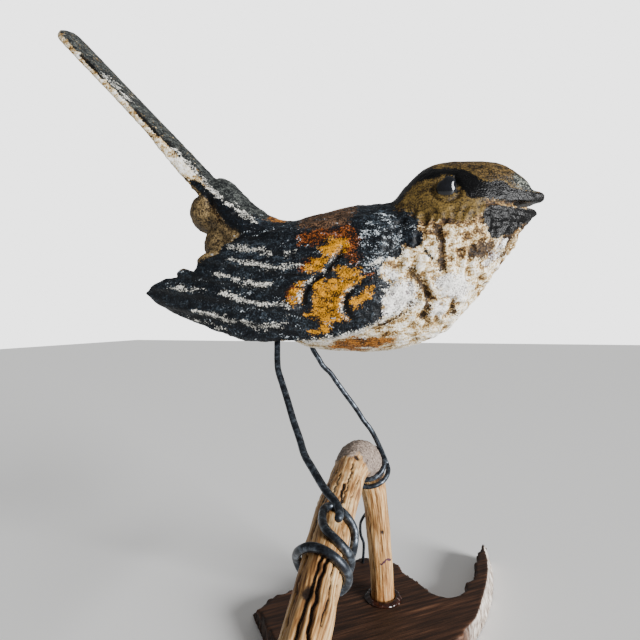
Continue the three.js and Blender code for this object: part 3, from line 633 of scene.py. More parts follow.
def covert_cut(distance):
    """A gouged line in front of a covert's edge, with a raised lip behind it."""
    groove = np.exp(-((distance - 0.9) / 0.75)**2)
    lip = np.exp(-((distance + 0.6) / 0.7)**2)
    return 0.45 * lip - 1.0 * groove + 0.5 * np.exp(-np.maximum(distance, 0) / 5) * (distance > 0)


def wing_relief(x, z):
    above = feather_share(x, z)
    feather = np.where(above < 0.8, (1 - above / 0.8)**1.3, smooth_step(0.8, 1, above))
    behind = 1 - smooth_step(0, 4, x - long_covert_edge(z) + 3)
    long_window = smooth_step(11, 14, z) * (1 - smooth_step(26, 29, z))
    small_window = smooth_step(7, 9.5, z) * (1 - smooth_step(17, 19.5, z))
    cuts = covert_cut(x - long_covert_edge(z)) * long_window + covert_cut(x - small_covert_edge(z)) * small_window
    return FEATHER_RIDGE * feather * behind + cuts


def wing_place(side):
    def place(share, turn):
        x = mix(*WING_ENDS, share)
        top, low = wing_top_line(x), wing_low_line(x)
        round_share = (turn / (2 * math.pi)) % 1
        outer = round_share < OUTER_SHARE
        down = np.where(outer, round_share / OUTER_SHARE, (1 - round_share) / (1 - OUTER_SHARE))
        z = mix(top, low, down)
        drop = np.where(down < 0.5, wing_top_drop(x) * (1 - 2 * down)**2, 2.2 * (2 * down - 1)**2)
        inside = smooth_step(0, 0.04, down) * (1 - smooth_step(0.96, 1, down))
        face = wing_width(x) - drop + wing_relief(x, z) * inside
        back = wing_width(x) - drop - wing_thickness(x) * mix(0.35, 1, inside)
        return np.stack([x, side * np.where(outer, face, back), z], axis=1)
    return place


# The cocked tail is an arched board with a round end.
TAIL_START = np.array([-33, 36.9])
TAIL_END = np.array([-95.8, 101.6])
TAIL_ARCH = 2
TAIL_TOP_SHARE = 0.5
tail_half_width = smooth_line([(0, 6.5), (0.2, 7.4), (0.6, 8.6), (0.9, 9.3), (0.95, 8.7), (1, 5.6)])
tail_edge = smooth_line([(0, 4.8), (0.3, 3.8), (0.5, 2.5), (1, 2.2)])


def tail_place(share, turn):
    along = TAIL_END - TAIL_START
    up = np.array([along[1], -along[0]]) / np.linalg.norm(along)
    round_share = (turn / (2 * math.pi)) % 1
    top = round_share < TAIL_TOP_SHARE
    across = np.where(top, 1 - 2 * round_share / TAIL_TOP_SHARE,
                      2 * (round_share - TAIL_TOP_SHARE) / (1 - TAIL_TOP_SHARE) - 1)
    under = TAIL_ARCH + tail_edge(share) - 0.6 * (1 - across**2)
    depth = np.where(top, TAIL_ARCH * across**2, under)
    spot = TAIL_START + np.outer(share, along) - np.outer(depth, up)
    return np.stack([spot[:, 0], tail_half_width(share) * across, spot[:, 1]], axis=1)


def ball(name, centre, radii, segments=48):
    bpy.ops.object.select_all(action='DESELECT')
    bpy.ops.mesh.primitive_uv_sphere_add(segments=segments, ring_count=segments // 2)
    piece = bpy.context.object
    piece.name = name
    write_points(piece, read_points(piece) * MM * radii + centre)
    return piece


def mandible(name, stations):
    table = np.array(stations, float)
    x_of, z_of, width_of, height_of = (smooth_line(np.stack([np.linspace(0, 1, len(table)), column], 1))
                                       for column in table.T)

    def place(share, turn):
        return np.stack([x_of(share), width_of(share) * np.cos(turn),
                         z_of(share) + height_of(share) * np.sin(turn)], axis=1)
    return shaped(name, 60, 40, place)


def join_all(name, pieces):
    pick(pieces[0])
    for piece in pieces:
        piece.select_set(True)
    bpy.ops.object.join()
    pieces[0].name = name
    return pieces[0]


# Station of a mandible: x, z, half width, half height
UPPER_MANDIBLE = [(35, 41.2, 4.6, 2.6), (39, 41, 3.6, 2.1), (42.4, 40.7, 2.3, 1.75), (44.2, 40.6, 1.5, 1.35),
                  (45, 40.6, 0.7, 0.7)]
LOWER_MANDIBLE = [(35, 35.6, 4.2, 2.4), (39, 35.8, 3.2, 1.7), (41.6, 36.2, 1.9, 1.1), (43.3, 36.5, 0.7, 0.45)]
UNDERTAIL_LOBES = [((-48, 0, 41), (6.5, 7.2, 6.4)), ((-42.5, 0, 31), (7.2, 8.4, 7))]
CARVING_GRIT = 0.42
MOUTH_CORNER = (31, 38)
MOUTH_FRONT = 47
MOUTH_SPREAD = (36.9, 39.5)

wren = join_all("painted_wren", [
    shaped("body", 220, 160, body_place),
    shaped("near_wing", 320, 160, wing_place(-1)),
    shaped("far_wing", 320, 160, wing_place(1)),
    shaped("tail", 160, 96, tail_place),
    mandible("upper_mandible", UPPER_MANDIBLE),
    mandible("lower_mandible", LOWER_MANDIBLE),
    *[ball("undertail_lobe", centre, radii) for centre, radii in UNDERTAIL_LOBES],
])
apply_modifier(wren, 'REMESH', mode='VOXEL', voxel_size=CARVING_GRIT * MM)

# The mouth is a wedge sawn out across the bill
bpy.ops.object.select_all(action='DESELECT')
bpy.ops.mesh.primitive_cylinder_add(vertices=3, radius=1, depth=2)
wedge = bpy.context.object
points = read_points(wedge) * MM
corners = np.array([MOUTH_CORNER, (MOUTH_FRONT, MOUTH_SPREAD[0]), (MOUTH_FRONT, MOUTH_SPREAD[1])])
around = np.round(np.arctan2(points[:, 1], points[:, 0]), 3)
corner = corners[np.searchsorted(np.unique(around), around)]
write_points(wedge, np.stack([corner[:, 0], points[:, 2] * 12, corner[:, 1]], axis=1))
pick(wedge)
bpy.ops.object.mode_set(mode='EDIT')
bpy.ops.mesh.select_all(action='SELECT')
bpy.ops.mesh.normals_make_consistent(inside=False)
bpy.ops.object.mode_set(mode='OBJECT')
cut_away(wren, wedge)
apply_modifier(wren, 'REMESH', mode='VOXEL', voxel_size=CARVING_GRIT * MM)
apply_modifier(wren, 'SMOOTH', factor=0.4, iterations=2)

# The carver's marks: scraped hollows on the breast, finer tool marks on the wings, and incised lines

# Incised lines of the side view: half width, depth and course
INCISIONS = [
    (0.9, 0.7, [(17.7, 30.7), (18.9, 28.1), (18.9, 24.9), (19.3, 21.7)]),
    (0.9, 0.7, [(11.8, 20.9), (13.7, 18.1), (15.3, 15.7), (16.5, 13.7)]),
    (0.9, 0.8, [(15.7, 14.5), (15.3, 11.7), (14.5, 9.6)]),
    (0.7, 0.6, [(21.8, 13.8), (22.1, 10.9)]),
    (0.6, 0.5, [(10.9, 12.9), (13.7, 14.1)]),
    (0.8, 0.5, [(34.6, 29.5), (32, 25), (29.5, 22)]),
    (0.45, 0.5, [(15.1, 25.5), (16.6, 23.6)]),
    (0.35, 0.5, [(22.4, 45.4), (22.8, 43), (22.6, 40.8)]),
    (0.35, 0.45, [(31.3, 36.2), (36.5, 36.3), (41.5, 35.9)]),
    (0.35, 0.4, [(29.6, 35), (38.2, 34.9)]),
    (0.35, 0.4, [(31.5, 32.6), (39.8, 33.7)]),
    (0.6, 0.5, [(28.6, 37.4), (33, 38), (38, 37.9)]),
    (0.6, 0.7, [(-86.8, 88.9), (-79.4, 81.3)]),
    (0.6, 0.7, [(-68.9, 70.9), (-61.5, 63)]),
    (0.5, 0.6, [(-60.4, 62.4), (-57, 59)]),
    (0.9, 0.7, [(-46.5, 44.2), (-43.6, 39.4), (-41, 35.8), (-35, 32.6)]),
]
# Raised lines, in the same way
RIBS = [
    (0.7, 0.5, [(-17.1, 3), (-7, 4.6), (-0.8, 6.5), (5.5, 9.4), (9.7, 11.6), (13.6, 13.8)]),
    (0.8, 0.4, [(35.2, 28.5), (33, 25), (30.5, 22)]),
    (0.8, 0.4, [(6.2, 12.5), (8.5, 17.5), (11.5, 18.8)]),
    (0.9, 0.4, [(19.5, 13.5), (21, 17.5), (24, 19)]),
]
BREAST_START = (4, 16)
EYE_CENTRE = np.array([20.1, 9.9, 41.6])

bare = read_points(wren)
normals = read_normals(wren)
x, z = bare[:, 0], bare[:, 2]
on_tail = smooth_step(44, 54, z - 0.35 * (x + 20)) * (x < -25)
on_head = smooth_step(33, 39, z) * (x > 5)
on_breast = smooth_step(*BREAST_START, x + 0.25 * (z - 15)) * (1 - on_head) * (1 - on_tail)
from_eye = np.linalg.norm((np.abs(bare * [1, 1, 1]) - EYE_CENTRE) * [1, 0.6, 1], axis=1)
scraped = bare @ np.array([[1.0, 0, 0.35], [0, 0.7, 0], [-0.35, 0, 0.55]])
lumps = rough(scraped, 3.6, 1)
creases = 1 - 2.4 * np.abs(rough(scraped, 2.5, 2))
tooling = rough(bare * [0.45, 1, 1.1], 1.5, 3)
grit = rough(bare, 0.95, 4)
marks = (on_breast * (0.28 * lumps + 0.28 * creases + 0.16 * tooling + 0.1 * grit)
         + (1 - on_breast) * mix(0.11, 0.05, on_head) * (tooling + 0.7 * grit) + 0.1 * on_head * lumps)
for half_width, depth, course in INCISIONS:
    marks -= depth * np.exp(-(line_distance(x, z, course) / half_width)**2)
for half_width, depth, course in RIBS:
    marks += depth * np.exp(-(line_distance(x, z, course) / half_width)**2)
marks -= 0.45 * np.exp(-((from_eye - 3.5) / 0.5)**2)
thin = np.minimum(smooth_step(-66, -58, x), 1 - smooth_step(40, 43, x))
carved = bare + normals * (marks * mix(0.35, 1, thin))[:, None]
write_points(wren, carved)

# Old brush-painted wood: thin oil paint over a pale ground, rubbed off the high spots and gone brown
# in the hollows. It is half matt, apart from the gloss black of the eyes and the bill.
# Every paint is a set of patches in the side view; each closed outline and each brush stroke in mm.

PATCHES = {
    "cheek": [[(6, 38), (6, 56), (40, 56), (46, 44), (40, 38.4), (30, 38.6), (30, 36.1), (26.4, 33.4),
               (23.2, 32.6), (19.3, 33.6), (14.9, 33), (12.4, 35.1), (10.3, 36.3)]],
    "slate": [[(-68, 17), (-60, 11.5), (-54.5, 9.5), (-46, 6), (-38, 3.5), (-31, 1.8), (-23, 2.8), (-8.4, 4.2), (-2, 5.6),
               (1.2, 7.1), (3.8, 8.4), (5.4, 9.6), (4.9, 11.7), (5.4, 14.1), (7.4, 15.7), (7, 16.9), (8.2, 18.9),
               (5.4, 18.5), (4.3, 20.1), (4.7, 21.7), (6.2, 24.2), (7.8, 23.8), (9.4, 24.2), (9.7, 26.6), (12.6, 26.2),
               (14.1, 27.4), (14.7, 30), (13.3, 31.4), (13.7, 32.7), (12.9, 34.6), (10.3, 36.3), (7.2, 37.9), (8.4, 43),
               (-4, 46), (-22, 43), (-29, 43), (-34, 38), (-36, 33.5), (-38, 30), (-42, 29.5), (-44, 29.5), (-47, 25),
               (-53, 24.5), (-60, 22)]],
    "lobe": [[(-56, 50), (-50, 49.5), (-46.1, 43.7), (-44.1, 40.2), (-42.6, 37.7), (-38.3, 35.9), (-35, 33.6), (-35.1, 31.4),
              (-38.3, 30.6), (-38, 27.9), (-40, 26.2), (-52, 22), (-60, 38)]],
    "dusk": [[(-54, 50.5), (-48.5, 48.6), (-45.5, 46), (-36, 39.6), (-28.8, 34), (-25.5, 32), (-25.8, 30), (-30.4, 30),
              (-33.5, 32), (-40, 36), (-45, 41.5), (-49, 46)]],
    "mantle": [[(-19.5, 40), (-18.9, 35.5), (-17, 32.5), (-13.9, 31.7), (-10.7, 31.2), (-8.6, 32), (-5.1, 32.4),
                (-3.7, 34), (-3, 37), (-3, 44), (-12, 44)]],
    "rust": [[(-16.8, 30), (-15.3, 31.3), (-13.6, 30.6), (-10.7, 32), (-7.5, 31.6), (-4, 32.7), (-1.4, 30.6),
              (-0.4, 28.5), (-1.6, 25.9), (-0.2, 24.2), (-1.3, 22.1), (-3.4, 23.3), (-4.9, 25.8), (-7.3, 28.6), (-9.3, 29),
              (-11.3, 28.1), (-13.4, 27.6), (-16.4, 28.2)],
             [(1.2, 19.7), (2.4, 20.6), (3.1, 19.5), (2.2, 18.6)],
             [(-16.4, 22.9), (-12, 24), (-10.4, 23.2), (-15, 21)],
             [(-18.8, 16.6), (-15.6, 17.6), (-15.8, 14), (-19.4, 13.2)]],
    "ochre": [[(-9.2, 28.6), (-5.8, 30), (-3.4, 28), (-3.8, 25.8), (-6.3, 25), (-8.3, 23.7), (-9.5, 21.2), (-11.5, 21),
               (-13, 20.5), (-15.3, 21.1), (-12.9, 23.5), (-10.8, 24.2), (-10.1, 25.4), (-10.8, 27)],
              [(-7.4, 22.3), (-4.9, 21.5), (-0.3, 21.2), (0.2, 19.5), (-1.2, 17.3), (-3, 16), (-4.6, 14), (-5.3, 11.3),
               (-3.3, 9.1), (-6.7, 8.6), (-9.8, 6.6), (-12, 9.3), (-14.5, 10.3), (-11.8, 12), (-12.5, 13.8), (-10.6, 16.2),
               (-13, 17.5), (-11.3, 19.1), (-7.9, 18.8), (-6.1, 19.8)],
              [(-15.5, 18), (-13.8, 18.7), (-15.2, 15.3), (-15.2, 13.1), (-17.9, 12.6), (-19.6, 13.9), (-17.4, 16)],
              [(-0.7, 15.1), (2.4, 16.8), (2.8, 15.1), (0.9, 13), (-2.2, 11.5), (-3.4, 13.2), (-1.9, 14.6)],
              [(-14, 5.6), (-10.3, 7), (-7.5, 8.2), (-8.1, 6.2), (-12, 5.1)]],
    "chalk": [[(4.9, 13.7), (6.6, 17.2), (10.6, 18.8), (13.6, 16.5), (12.3, 13.5), (8.9, 11), (5.3, 9.2)],
              [(4.6, 20.9), (6.5, 21.8), (8.7, 20), (8.2, 18.6), (6, 18.3)],
              [(16.7, 18.1), (20.5, 20.2), (24.3, 19.8), (26.3, 17.2), (24.5, 14), (20.9, 14.2), (18.3, 15.6)],
              [(16.6, 12.3), (18.9, 13.3), (20.6, 11.3), (18.6, 9.2), (16.5, 10)],
              [(34.8, 29), (33.2, 25.5), (30.4, 22.2), (29.4, 22.8), (31.9, 26)]],
    "umber": [[(25.6, 25.8), (28, 27.5), (31.8, 28.1), (31.4, 25.6), (28.5, 23.6), (25.6, 24.1)],
              [(35.2, 31), (37.2, 31), (35.2, 26), (33.8, 24.6), (34.2, 28)]],
    "rufous": [[(-10.4, 1.6), (-5.7, 4), (-0.4, 4.5), (4.8, 4.7), (7.5, 3.8), (3.1, 1.6), (-5.5, 0)],
               [(-28.3, 40), (-25.5, 38.8), (-22.6, 37.6), (-25.5, 36.6), (-28.5, 37.6)]],
    "crown": [[(18, 54), (20, 49.6), (26, 47.4), (28.3, 44.8), (30.7, 43.4), (33.2, 44.2), (36.2, 44.2), (37.8, 46.4),
               (36, 52), (26, 55)]],
    "ash": [[(35.6, 43.9), (37.4, 46.6), (40.4, 45), (43, 41.8), (39.5, 41.4), (37.4, 42.2)]],
    "black": [[(6.4, 38.4), (6, 43), (10, 48), (13.6, 49.6), (16.5, 48.6), (17.8, 48.2), (21.1, 48.4), (25.6, 46.9),
               (27.9, 44), (30.6, 43), (32.5, 43.7), (34, 43.5), (36.9, 42), (40.4, 41.6), (48, 42), (48, 38.8),
               (40.4, 38.5), (35.7, 38.2), (32.1, 38.7), (28.9, 38.7), (26.5, 38.6), (24.9, 39.6), (24.2, 41), (23, 43.4),
               (21.9, 45.3), (19.4, 46), (17.4, 45.5), (15, 45), (13.1, 44.6), (11, 42.8), (9.3, 40.4), (8, 39)],
              [(29, 36.3), (32.1, 37.4), (35, 37.1), (40.9, 37.2), (46, 37.4), (46, 35.4), (43, 35), (39.9, 33.2),
               (37.1, 30.9), (33.9, 29.5), (31.3, 29), (29.6, 30.6), (28.6, 33.1)]],
}
STROKES = {
    "worn": [(0.25, [(-36.6, 28.9), (-32.1, 27.9), (-27.4, 27), (-24, 26)]), (0.2, [(-19.5, 25.6), (-16.9, 26.3)]),
             (0.35, [(-34.8, 24.7), (-29.3, 23.4), (-24.7, 22.3), (-20.4, 22), (-15.7, 22.2)]),
             (0.3, [(-39.2, 20.9), (-35, 20), (-30.7, 18.7), (-26.8, 18.1), (-23, 17.8)]),
             (0.35, [(-37.6, 16.4), (-33.7, 14.9), (-29.7, 13.6), (-24.7, 12.6), (-18.9, 12.4)]),
             (0.2, [(-53.9, 17.6), (-49.9, 17.4), (-46.8, 17.5), (-43, 16.8)]),
             (0.5, [(-39.8, 10.2), (-36.9, 9.2), (-33.6, 8.5)]), (0.25, [(-46.6, 11.3), (-41.5, 10.6)]),
             (0.4, [(-31.2, 7.9), (-27.4, 6.9), (-24, 7.2), (-21.5, 7.4)]),
             (0.1, [(-49.2, 9.4), (-43.2, 8), (-36.9, 6.6)]), (0.1, [(-19, 10.3), (-20.3, 6.8)]),
             (0, [(-5.2, 26.6), (-6.9, 24.9), (-8.8, 22.1), (-9.4, 20.4)]),
             (0.05, [(-12.4, 18.9), (-14.4, 17.5), (-15.8, 15.8), (-15.9, 12.8)]),
             (0.05, [(-1.4, 17.2), (-3.9, 15.8), (-5.2, 13.7), (-5.2, 11.3), (-4.1, 9.3)]),
             (0.15, [(-17.1, 3), (-10.5, 4.1), (-7, 4.5), (-0.8, 6.5), (2.3, 7.7), (5.9, 9.6), (9.7, 11.7), (13.5, 13.8)]),
             (0.3, [(5, 16.2), (7.2, 16.5), (7.6, 15.2)]), (0.35, [(2, 22), (4.4, 22.9)]),
             (0.1, [(-57, 59.2), (-51, 53), (-46, 47.2)]), (0.35, [(-46, 47), (-40.7, 42.7), (-35.5, 39), (-31.5, 36.6)]),
             (0.1, [(-80, 83.2), (-71, 74)])],
    # groove_shade: near-black painted shade laid along the incised lines of the tail, the wing and the head
    "groove_shade": [(0.5, [(-86.8, 88.9), (-79.4, 81.3)]), (0.5, [(-68.9, 70.9), (-61.5, 63)]), (0.4, [(-60.4, 62.4), (-57, 59)]),
              (0.45, [(-5.2, 25), (-7.3, 23), (-8.2, 20)]), (0.5, [(-9.6, 19.7), (-12.1, 18.6), (-14.2, 15.8), (-14.6, 13.2)]),
              (0.5, [(-2.4, 15.9), (-3.9, 14.2), (-3.7, 12.2), (-2.6, 10.6)]),
              (0.35, [(15.1, 25.5), (16.6, 23.6)]), (0.4, [(22.3, 45.6), (22.7, 43), (22.5, 40.6)])],
    "umber": [(0.8, [(17.7, 31.4), (18.9, 28.1), (18.9, 24.9), (19.3, 21.7)]),
              (0.7, [(11.8, 20.9), (13.7, 18.1), (15.3, 15.7), (16.5, 13.7)]),
              (0.8, [(15.9, 14.5), (15.5, 11.7), (14.5, 9.6)]), (0.5, [(21.8, 13.8), (22.1, 10.9)]),
              (0.5, [(10.9, 12.7), (13.7, 13.8)]), (0.4, [(2.1, 6.9), (6.3, 8.6), (11, 11.4)]),
              (0.5, [(-44.8, 41), (-42.5, 37.6)])],
}
# The wing's shoulder, where bright flecks of painted glints stand for the sparkle of light on the paint
SHOULDER = [(0.2, 21.4), (3.8, 20.8), (6.2, 24.2), (8.4, 27), (9.6, 31), (7.5, 35.5), (3, 36.5), (0.5, 33), (-1.5, 29), (1, 25)]
# Paint: darker and lighter colour, how far its edge frays in mm, roughness, and where in the noise it lightens
PAINTS = [
    ("cheek", "#1f160a", "#77602f", 1.4, 0.5, -0.8, 1.0),
    ("slate", "#05080d", "#39434c", 0.8, 0.45, -0.1, 1.4),
    ("tail", "#090c0e", "#5d615d", 0.35, 0.45, -0.4, 1.3),
    ("lobe", "#1c130a", "#8f7850", 0.7, 0.55, -0.7, 1.0),
    ("dusk", "#030508", "#18232e", 0.5, 0.4, 0, 1.3),
    ("mantle", "#110c09", "#6b4f39", 1.4, 0.5, -0.5, 1.0),
    ("rust", "#150a05", "#ad5b1c", 1.2, 0.45, -0.3, 1.1),
    ("ochre", "#1d1304", "#cf8c08", 1.1, 0.45, -0.8, 0.8),
    # painted glints: bright flecks over the slate wing and its shoulder, a painted highlight
    ("painted_glints", "#232d36", "#cfd8de", 2.2, 0.35, -0.6, 1.0),
    ("umber", "#1a1009", "#57401f", 1.0, 0.55, -0.6, 0.8),
    ("chalk", "#5f5557", "#fbf9f3", 1.3, 0.5, -0.9, 0.5),
    ("rufous", "#2e1a0a", "#c07c30", 1.4, 0.5, -0.7, 0.9),
    # groove_shade is painted shade in the incised lines
    ("groove_shade", "#030303", "#17120f", 0.35, 0.5, 0, 1),
    ("worn", "#262a2d", "#f0ede2", 1.1, 0.45, -0.6, 0.8),
    ("crown", "#120d07", "#6e5730", 1.1, 0.4, -0.5, 1.0),
    ("ash", "#101415", "#9fa295", 0.9, 0.4, -0.1, 1.2),
    ("black", "#010102", "#090a0c", 0.5, 0.32, 0, 1.4),
]
GROUND = ((0.05, "#1a1008"), (0.28, "#543b1d"), (0.46, "#9a7a49"), (0.6, "#d2bc90"), (0.76, "#f0e8d6"), (0.95, "#fdfcf8"))
BRISTLE = 0.42
DAB = 1.5
BLOTCH = 4.5

tail_along = (TAIL_END - TAIL_START) / np.linalg.norm(TAIL_END - TAIL_START)
tail_run = (x - TAIL_START[0]) * tail_along[0] + (z - TAIL_START[1]) * tail_along[1]
tail_depth = (x - TAIL_START[0]) * -tail_along[1] + (z - TAIL_START[1]) * tail_along[0]
across = bare[:, 1] / tail_half_width(np.clip(tail_run / np.linalg.norm(TAIL_END - TAIL_START), 0, 1))
tail_top = np.where(x < -24, np.minimum(TAIL_ARCH * across**2 + 0.35 - tail_depth, tail_run - 1), -9)
rump = depth_inside(x, z, [(-22, 36), (-28, 36.4), (-34, 39.4), (-40, 43.4), (-46, 48.4), (-52, 54.4), (-48, 60), (-20, 42)])
for paint in PAINTS:
    inside = np.full(len(x), -9.0)
    for outline in PATCHES.get(paint[0], ()):
        inside = np.maximum(inside, depth_inside(x, z, outline))
    for half_width, course in STROKES.get(paint[0], ()):
        inside = np.maximum(inside, half_width - line_distance(x, z, course))
    if paint[0] == "tail":
        inside = np.maximum(tail_top, rump)
    # The painted glints are scattered over the slate wing and over the shoulder
    if paint[0] == "painted_glints":
        inside = np.maximum(np.minimum(depth_inside(x, z, PATCHES["slate"][0]), 0) - 1.9,
                            np.minimum(depth_inside(x, z, SHOULDER), 0) - 0.7)
    keep_values(wren, paint[0], inside)
keep_values(wren, "height", np.clip(marks / 0.35, -2, 2))
# The pale ground is made darker towards the top of the breast and the head
keep_values(wren, "darker_upwards", smooth_step(19, 36, z) * smooth_step(-10, 10, x))

paint_skin = bpy.data.materials.new("brush_painted_carved_wood")
paint_skin.use_nodes = True
nodes, links = paint_skin.node_tree.nodes, paint_skin.node_tree.links
skin = nodes["Principled BSDF"]
place = add_node(paint_skin, 'ShaderNodeTexCoord').outputs["Object"]
long_grain = add_node(paint_skin, 'ShaderNodeMapping', {0: place, "Rotation": (0, math.radians(9), 0),
                                                        "Scale": (0.45, 1, 1)}).outputs[0]
height = add_node(paint_skin, 'ShaderNodeAttribute', attribute_name="height").outputs["Fac"]
fields = {}
for name, size, coordinates, detail in (("bristle", BRISTLE, place, 2), ("dab", DAB, long_grain, 3),
                                        ("blotch", BLOTCH, place, 2)):
    cloud = add_node(paint_skin, 'ShaderNodeTexNoise', {"Vector": coordinates, "Scale": 1 / (size * MM),
                                                        "Detail": detail, "Roughness": 0.6})
    split = add_node(paint_skin, 'ShaderNodeSeparateColor', {0: cloud.outputs["Color"]})
    fields[name] = [add_node(paint_skin, 'ShaderNodeMath', {0: split.outputs[i], 1: 0.5}, operation='SUBTRACT').outputs[0]
                    for i in range(3)]


def add_up(*terms):
    """The sum of sockets, each times its factor, from the first term, a plain number."""
    total = terms[0]
    for socket, factor in terms[1:]:
        total = add_node(paint_skin, 'ShaderNodeMath', {0: socket, 1: factor, 2: total}, operation='MULTIPLY_ADD').outputs[0]
    return total


# The ground darkens towards the top at the front of the bird
darker_upwards = add_node(paint_skin, 'ShaderNodeAttribute', attribute_name="darker_upwards").outputs["Fac"]
lightness = add_up(0.66, (height, 0.1), (darker_upwards, -0.34), (fields["dab"][0], 1.5), (fields["blotch"][0], 0.9),
                   (fields["bristle"][0], 1.3))
ground = add_node(paint_skin, 'ShaderNodeValToRGB', {0: lightness})
ramp = ground.color_ramp.elements
for spot, code in GROUND[1:-1]:
    ramp.new(spot)
for element, (spot, code) in zip(ramp, GROUND):
    element.position = spot
    element.color = hex_colour(code)
colour, roughness = ground.outputs["Color"], 0.6
for index, (name, dark, light, fray, gloss, shade_low, shade_high) in enumerate(PAINTS):
    inside = add_node(paint_skin, 'ShaderNodeAttribute', attribute_name=name).outputs["Fac"]
    edge = add_up(0, (inside, 1), (fields["dab"][index % 3], 4 * fray), (fields["bristle"][(index + 1) % 3], 3.5 * fray))
    cover = add_node(paint_skin, 'ShaderNodeMapRange', {"Value": edge, "From Min": -0.1, "From Max": 0.14},
                     interpolation_type='SMOOTHSTEP').outputs[0]
    grain = add_up(0, (height, 0.16), (fields["bristle"][index % 3], 4.2), (fields["dab"][(index + 2) % 3], 2.6))
    shade = add_node(paint_skin, 'ShaderNodeMapRange', {"Value": grain, "From Min": shade_low, "From Max": shade_high},
                     interpolation_type='SMOOTHSTEP').outputs[0]
    tone = add_node(paint_skin, 'ShaderNodeMix', {0: shade, 6: hex_colour(dark), 7: hex_colour(light)}, data_type='RGBA')
    colour = add_node(paint_skin, 'ShaderNodeMix', {0: cover, 6: colour, 7: tone.outputs[2]}, data_type='RGBA').outputs[2]
    roughness = add_node(paint_skin, 'ShaderNodeMix', {0: cover, 2: roughness, 3: gloss}).outputs[0]
links.new(colour, skin.inputs["Base Color"])
links.new(roughness, skin.inputs["Roughness"])
ridges = add_up(0, (fields["bristle"][1], 1), (fields["dab"][1], 1.2))
bump = add_node(paint_skin, 'ShaderNodeBump', {"Height": ridges, "Strength": 0.8, "Distance": 0.25 * MM})
links.new(bump.outputs[0], skin.inputs["Normal"])
skin.inputs["Specular IOR Level"].default_value = 0.22
wren.data.materials.clear()
wren.data.materials.append(paint_skin)

# The eyes stand out as small glossy beads of black enamel
EYE_RADII = (2.5, 1.5, 2.6)
EYE_POINT = (0.4, 0.92)

gloss_black = bpy.data.materials.new("gloss_black_enamel")
gloss_black.use_nodes = True
enamel = gloss_black.node_tree.nodes["Principled BSDF"]
dust = add_node(gloss_black, 'ShaderNodeTexNoise', {"Vector": add_node(gloss_black, 'ShaderNodeTexCoord').outputs["Object"],
                                                    "Scale": 1 / (0.8 * MM), "Detail": 3})
film = add_node(gloss_black, 'ShaderNodeValToRGB', {0: dust.outputs[0]})
film.color_ramp.elements[0].color = hex_colour("#020203")
film.color_ramp.elements[1].color = hex_colour("#14161c")
gloss_black.node_tree.links.new(film.outputs[0], enamel.inputs["Base Color"])
enamel.inputs["Roughness"].default_value = 0.12
eyes = []
for side in (-1, 1):
    eye = ball("eye", (0, 0, 0), EYE_RADII)
    points = read_points(eye)
    pull = smooth_step(0.75, 1, (points[:, 0] * EYE_POINT[0] + points[:, 2] * EYE_POINT[1])
                       / np.maximum(np.hypot(points[:, 0], points[:, 2]), 0.01))
    points[:, [0, 2]] *= (1 + 0.3 * pull * smooth_step(0, 1.8, np.hypot(points[:, 0], points[:, 2])))[:, None]
    write_points(eye, points + EYE_CENTRE * [1, side, 1])
    bpy.ops.object.select_all(action='DESELECT')
    pick(eye)
    bpy.ops.object.shade_smooth()
    eye.data.materials.append(gloss_black)
    eyes.append(eye)
join_all("painted_wren", [wren, *eyes])
write_points(wren, read_points(wren) + np.array([0, BIRD_MIDDLE_Y, BELLY_HEIGHT]))
pick(wren)
bpy.ops.object.shade_smooth()

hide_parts("wren")
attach(wren, "root")


# Legs and foot ties
# Stiff bright-drawn steel tie wire, blackened with age, about 16 gauge. The near leg ends in a hook on the
# eye of a second wire wound round the perch; the far leg is one wire wound twice round the bend of the stick.

WIRE_DIAMETER = 1.6
COIL_GAP = 0.1
NEAR_LEG_PATH = [
    (-25.6, -43, 111.5), (-24.4, -45, 106), (-23.3, -47, 99.2), (-21.9, -51.2, 94.6), (-20.9, -53.6, 92.3),
    (-18.7, -56.7, 88.9), (-16.6, -59.8, 85.9), (-14, -63.8, 82.1), (-11.5, -67.3, 78.7), (-9.7, -70, 76.2),
    (-7.3, -72.5, 74.1), (-3.8, -76.3, 71.4), (-1.2, -78.8, 70), (-0.2, -80.6, 68.9), (-0.2, -82.3, 68.1)]
FAR_LEG_TOP = [
    (-22.8, -22.4, 109), (-21.6, -22, 103), (-19.8, -21.7, 95.7), (-18.2, -20.9, 92.8), (-16.8, -20.1, 90.2),
    (-14.8, -19.2, 88.1), (-12.9, -18.4, 85.2), (-10.4, -17.3, 81.4), (-8.1, -16.4, 78.1), (-6.4, -15.5, 75.4),
    (-4.8, -14.7, 72.6), (-2.4, -13.9, 69.3)]
# Turn round the perch in degrees and y of the near foot's tie
NEAR_TIE_TURNS = [
    (185, -83.4), (150, -82.8), (120, -81.2), (100, -78.8), (75, -77.8), (45, -77.4), (24, -76.6), (5, -75.6),
    (-11, -77), (-13, -79.6), (-8, -83), (6, -86.4), (32, -88.4), (60, -88.5), (95, -87), (140, -86.6),
    (185, -86.2), (230, -86.2), (265, -87), (290, -88.8), (312, -90.4), (335, -91.6), (360, -92.8), (390, -93.7),
    (420, -93.5), (450, -92.2), (480, -90.8), (505, -90.3)]


def winding(share, degrees, clearance):
    share = np.asarray(share, float)
    distance = branch_radius(share) + WIRE_DIAMETER / 2 + clearance
    return round_branch(share, np.radians(degrees), distance)


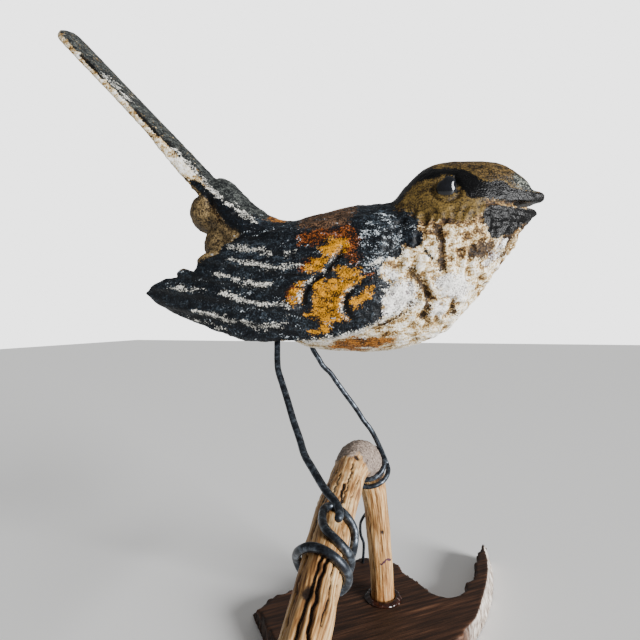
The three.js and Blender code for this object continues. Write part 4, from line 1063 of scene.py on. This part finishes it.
tie_turns, tie_ys = np.array(NEAR_TIE_TURNS).T
tie_shares = np.searchsorted(branch_middle[:, 1], tie_ys) / (BRANCH_STATIONS - 1)
coil_turns = np.arange(60, 549, 30)
coil_progress = (coil_turns - 60) / (548 - 60)
coil = winding(mix(0.685, 0.64, coil_progress), coil_turns,
               mix(0.8, COIL_GAP, smooth_step(0.3, 0.7, coil_progress)))

for name, node, path, count in (
        ("near_leg_wire", "near_leg_wire", NEAR_LEG_PATH, 200),
        ("near_foot_tie", "near_foot_tie_wire", winding(tie_shares, tie_turns, COIL_GAP), 420),
        ("far_leg_wire", "far_leg_wire", np.vstack([FAR_LEG_TOP, coil]), 460)):
    leg = wire(name, path, WIRE_DIAMETER, count)
    leg.data.materials.append(annealed)
    pick(leg)
    bpy.ops.object.shade_smooth()
    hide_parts(node)
    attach(leg, "root")


# Camera, floor and light
# The camera stands level with the belly, as the photograph was taken; soft light comes from the right.

bpy.ops.object.camera_add(location=(16.4 * MM, -168.6 * MM, 104.8 * MM), rotation=(math.pi / 2, 0, math.radians(13)))
camera = bpy.context.object
camera.data.lens = 27.06
camera.data.sensor_width = 36
camera.data.clip_start = 0.005
bpy.context.scene.camera = camera

bpy.ops.mesh.primitive_plane_add(size=3, location=(0, 0.6, -0.0002))
floor = bpy.context.object
floor.name = "pale_floor"
pale = bpy.data.materials.new("pale_floor")
pale.use_nodes = True
pale.node_tree.nodes["Principled BSDF"].inputs["Base Color"].default_value = (0.93, 0.93, 0.92, 1)
floor.data.materials.append(pale)

bpy.ops.object.light_add(type='SUN')
window = bpy.context.object
window.name = "window_light"
window.data.energy = 9
window.data.angle = math.radians(30)
window.rotation_euler = Vector((-0.86, 0.45, -0.24)).to_track_quat('-Z', 'Y').to_euler()

world = bpy.data.worlds.new("studio")
world.use_nodes = True
room = world.node_tree.nodes["Background"]
room.inputs["Color"].default_value = (1, 1, 1, 1)
rays = world.node_tree.nodes.new('ShaderNodeLightPath')
shine = world.node_tree.nodes.new('ShaderNodeMapRange')
shine.inputs["To Min"].default_value = 0.28
shine.inputs["To Max"].default_value = 3
world.node_tree.links.new(rays.outputs["Is Camera Ray"], shine.inputs["Value"])
world.node_tree.links.new(shine.outputs[0], room.inputs["Strength"])
bpy.context.scene.world = world
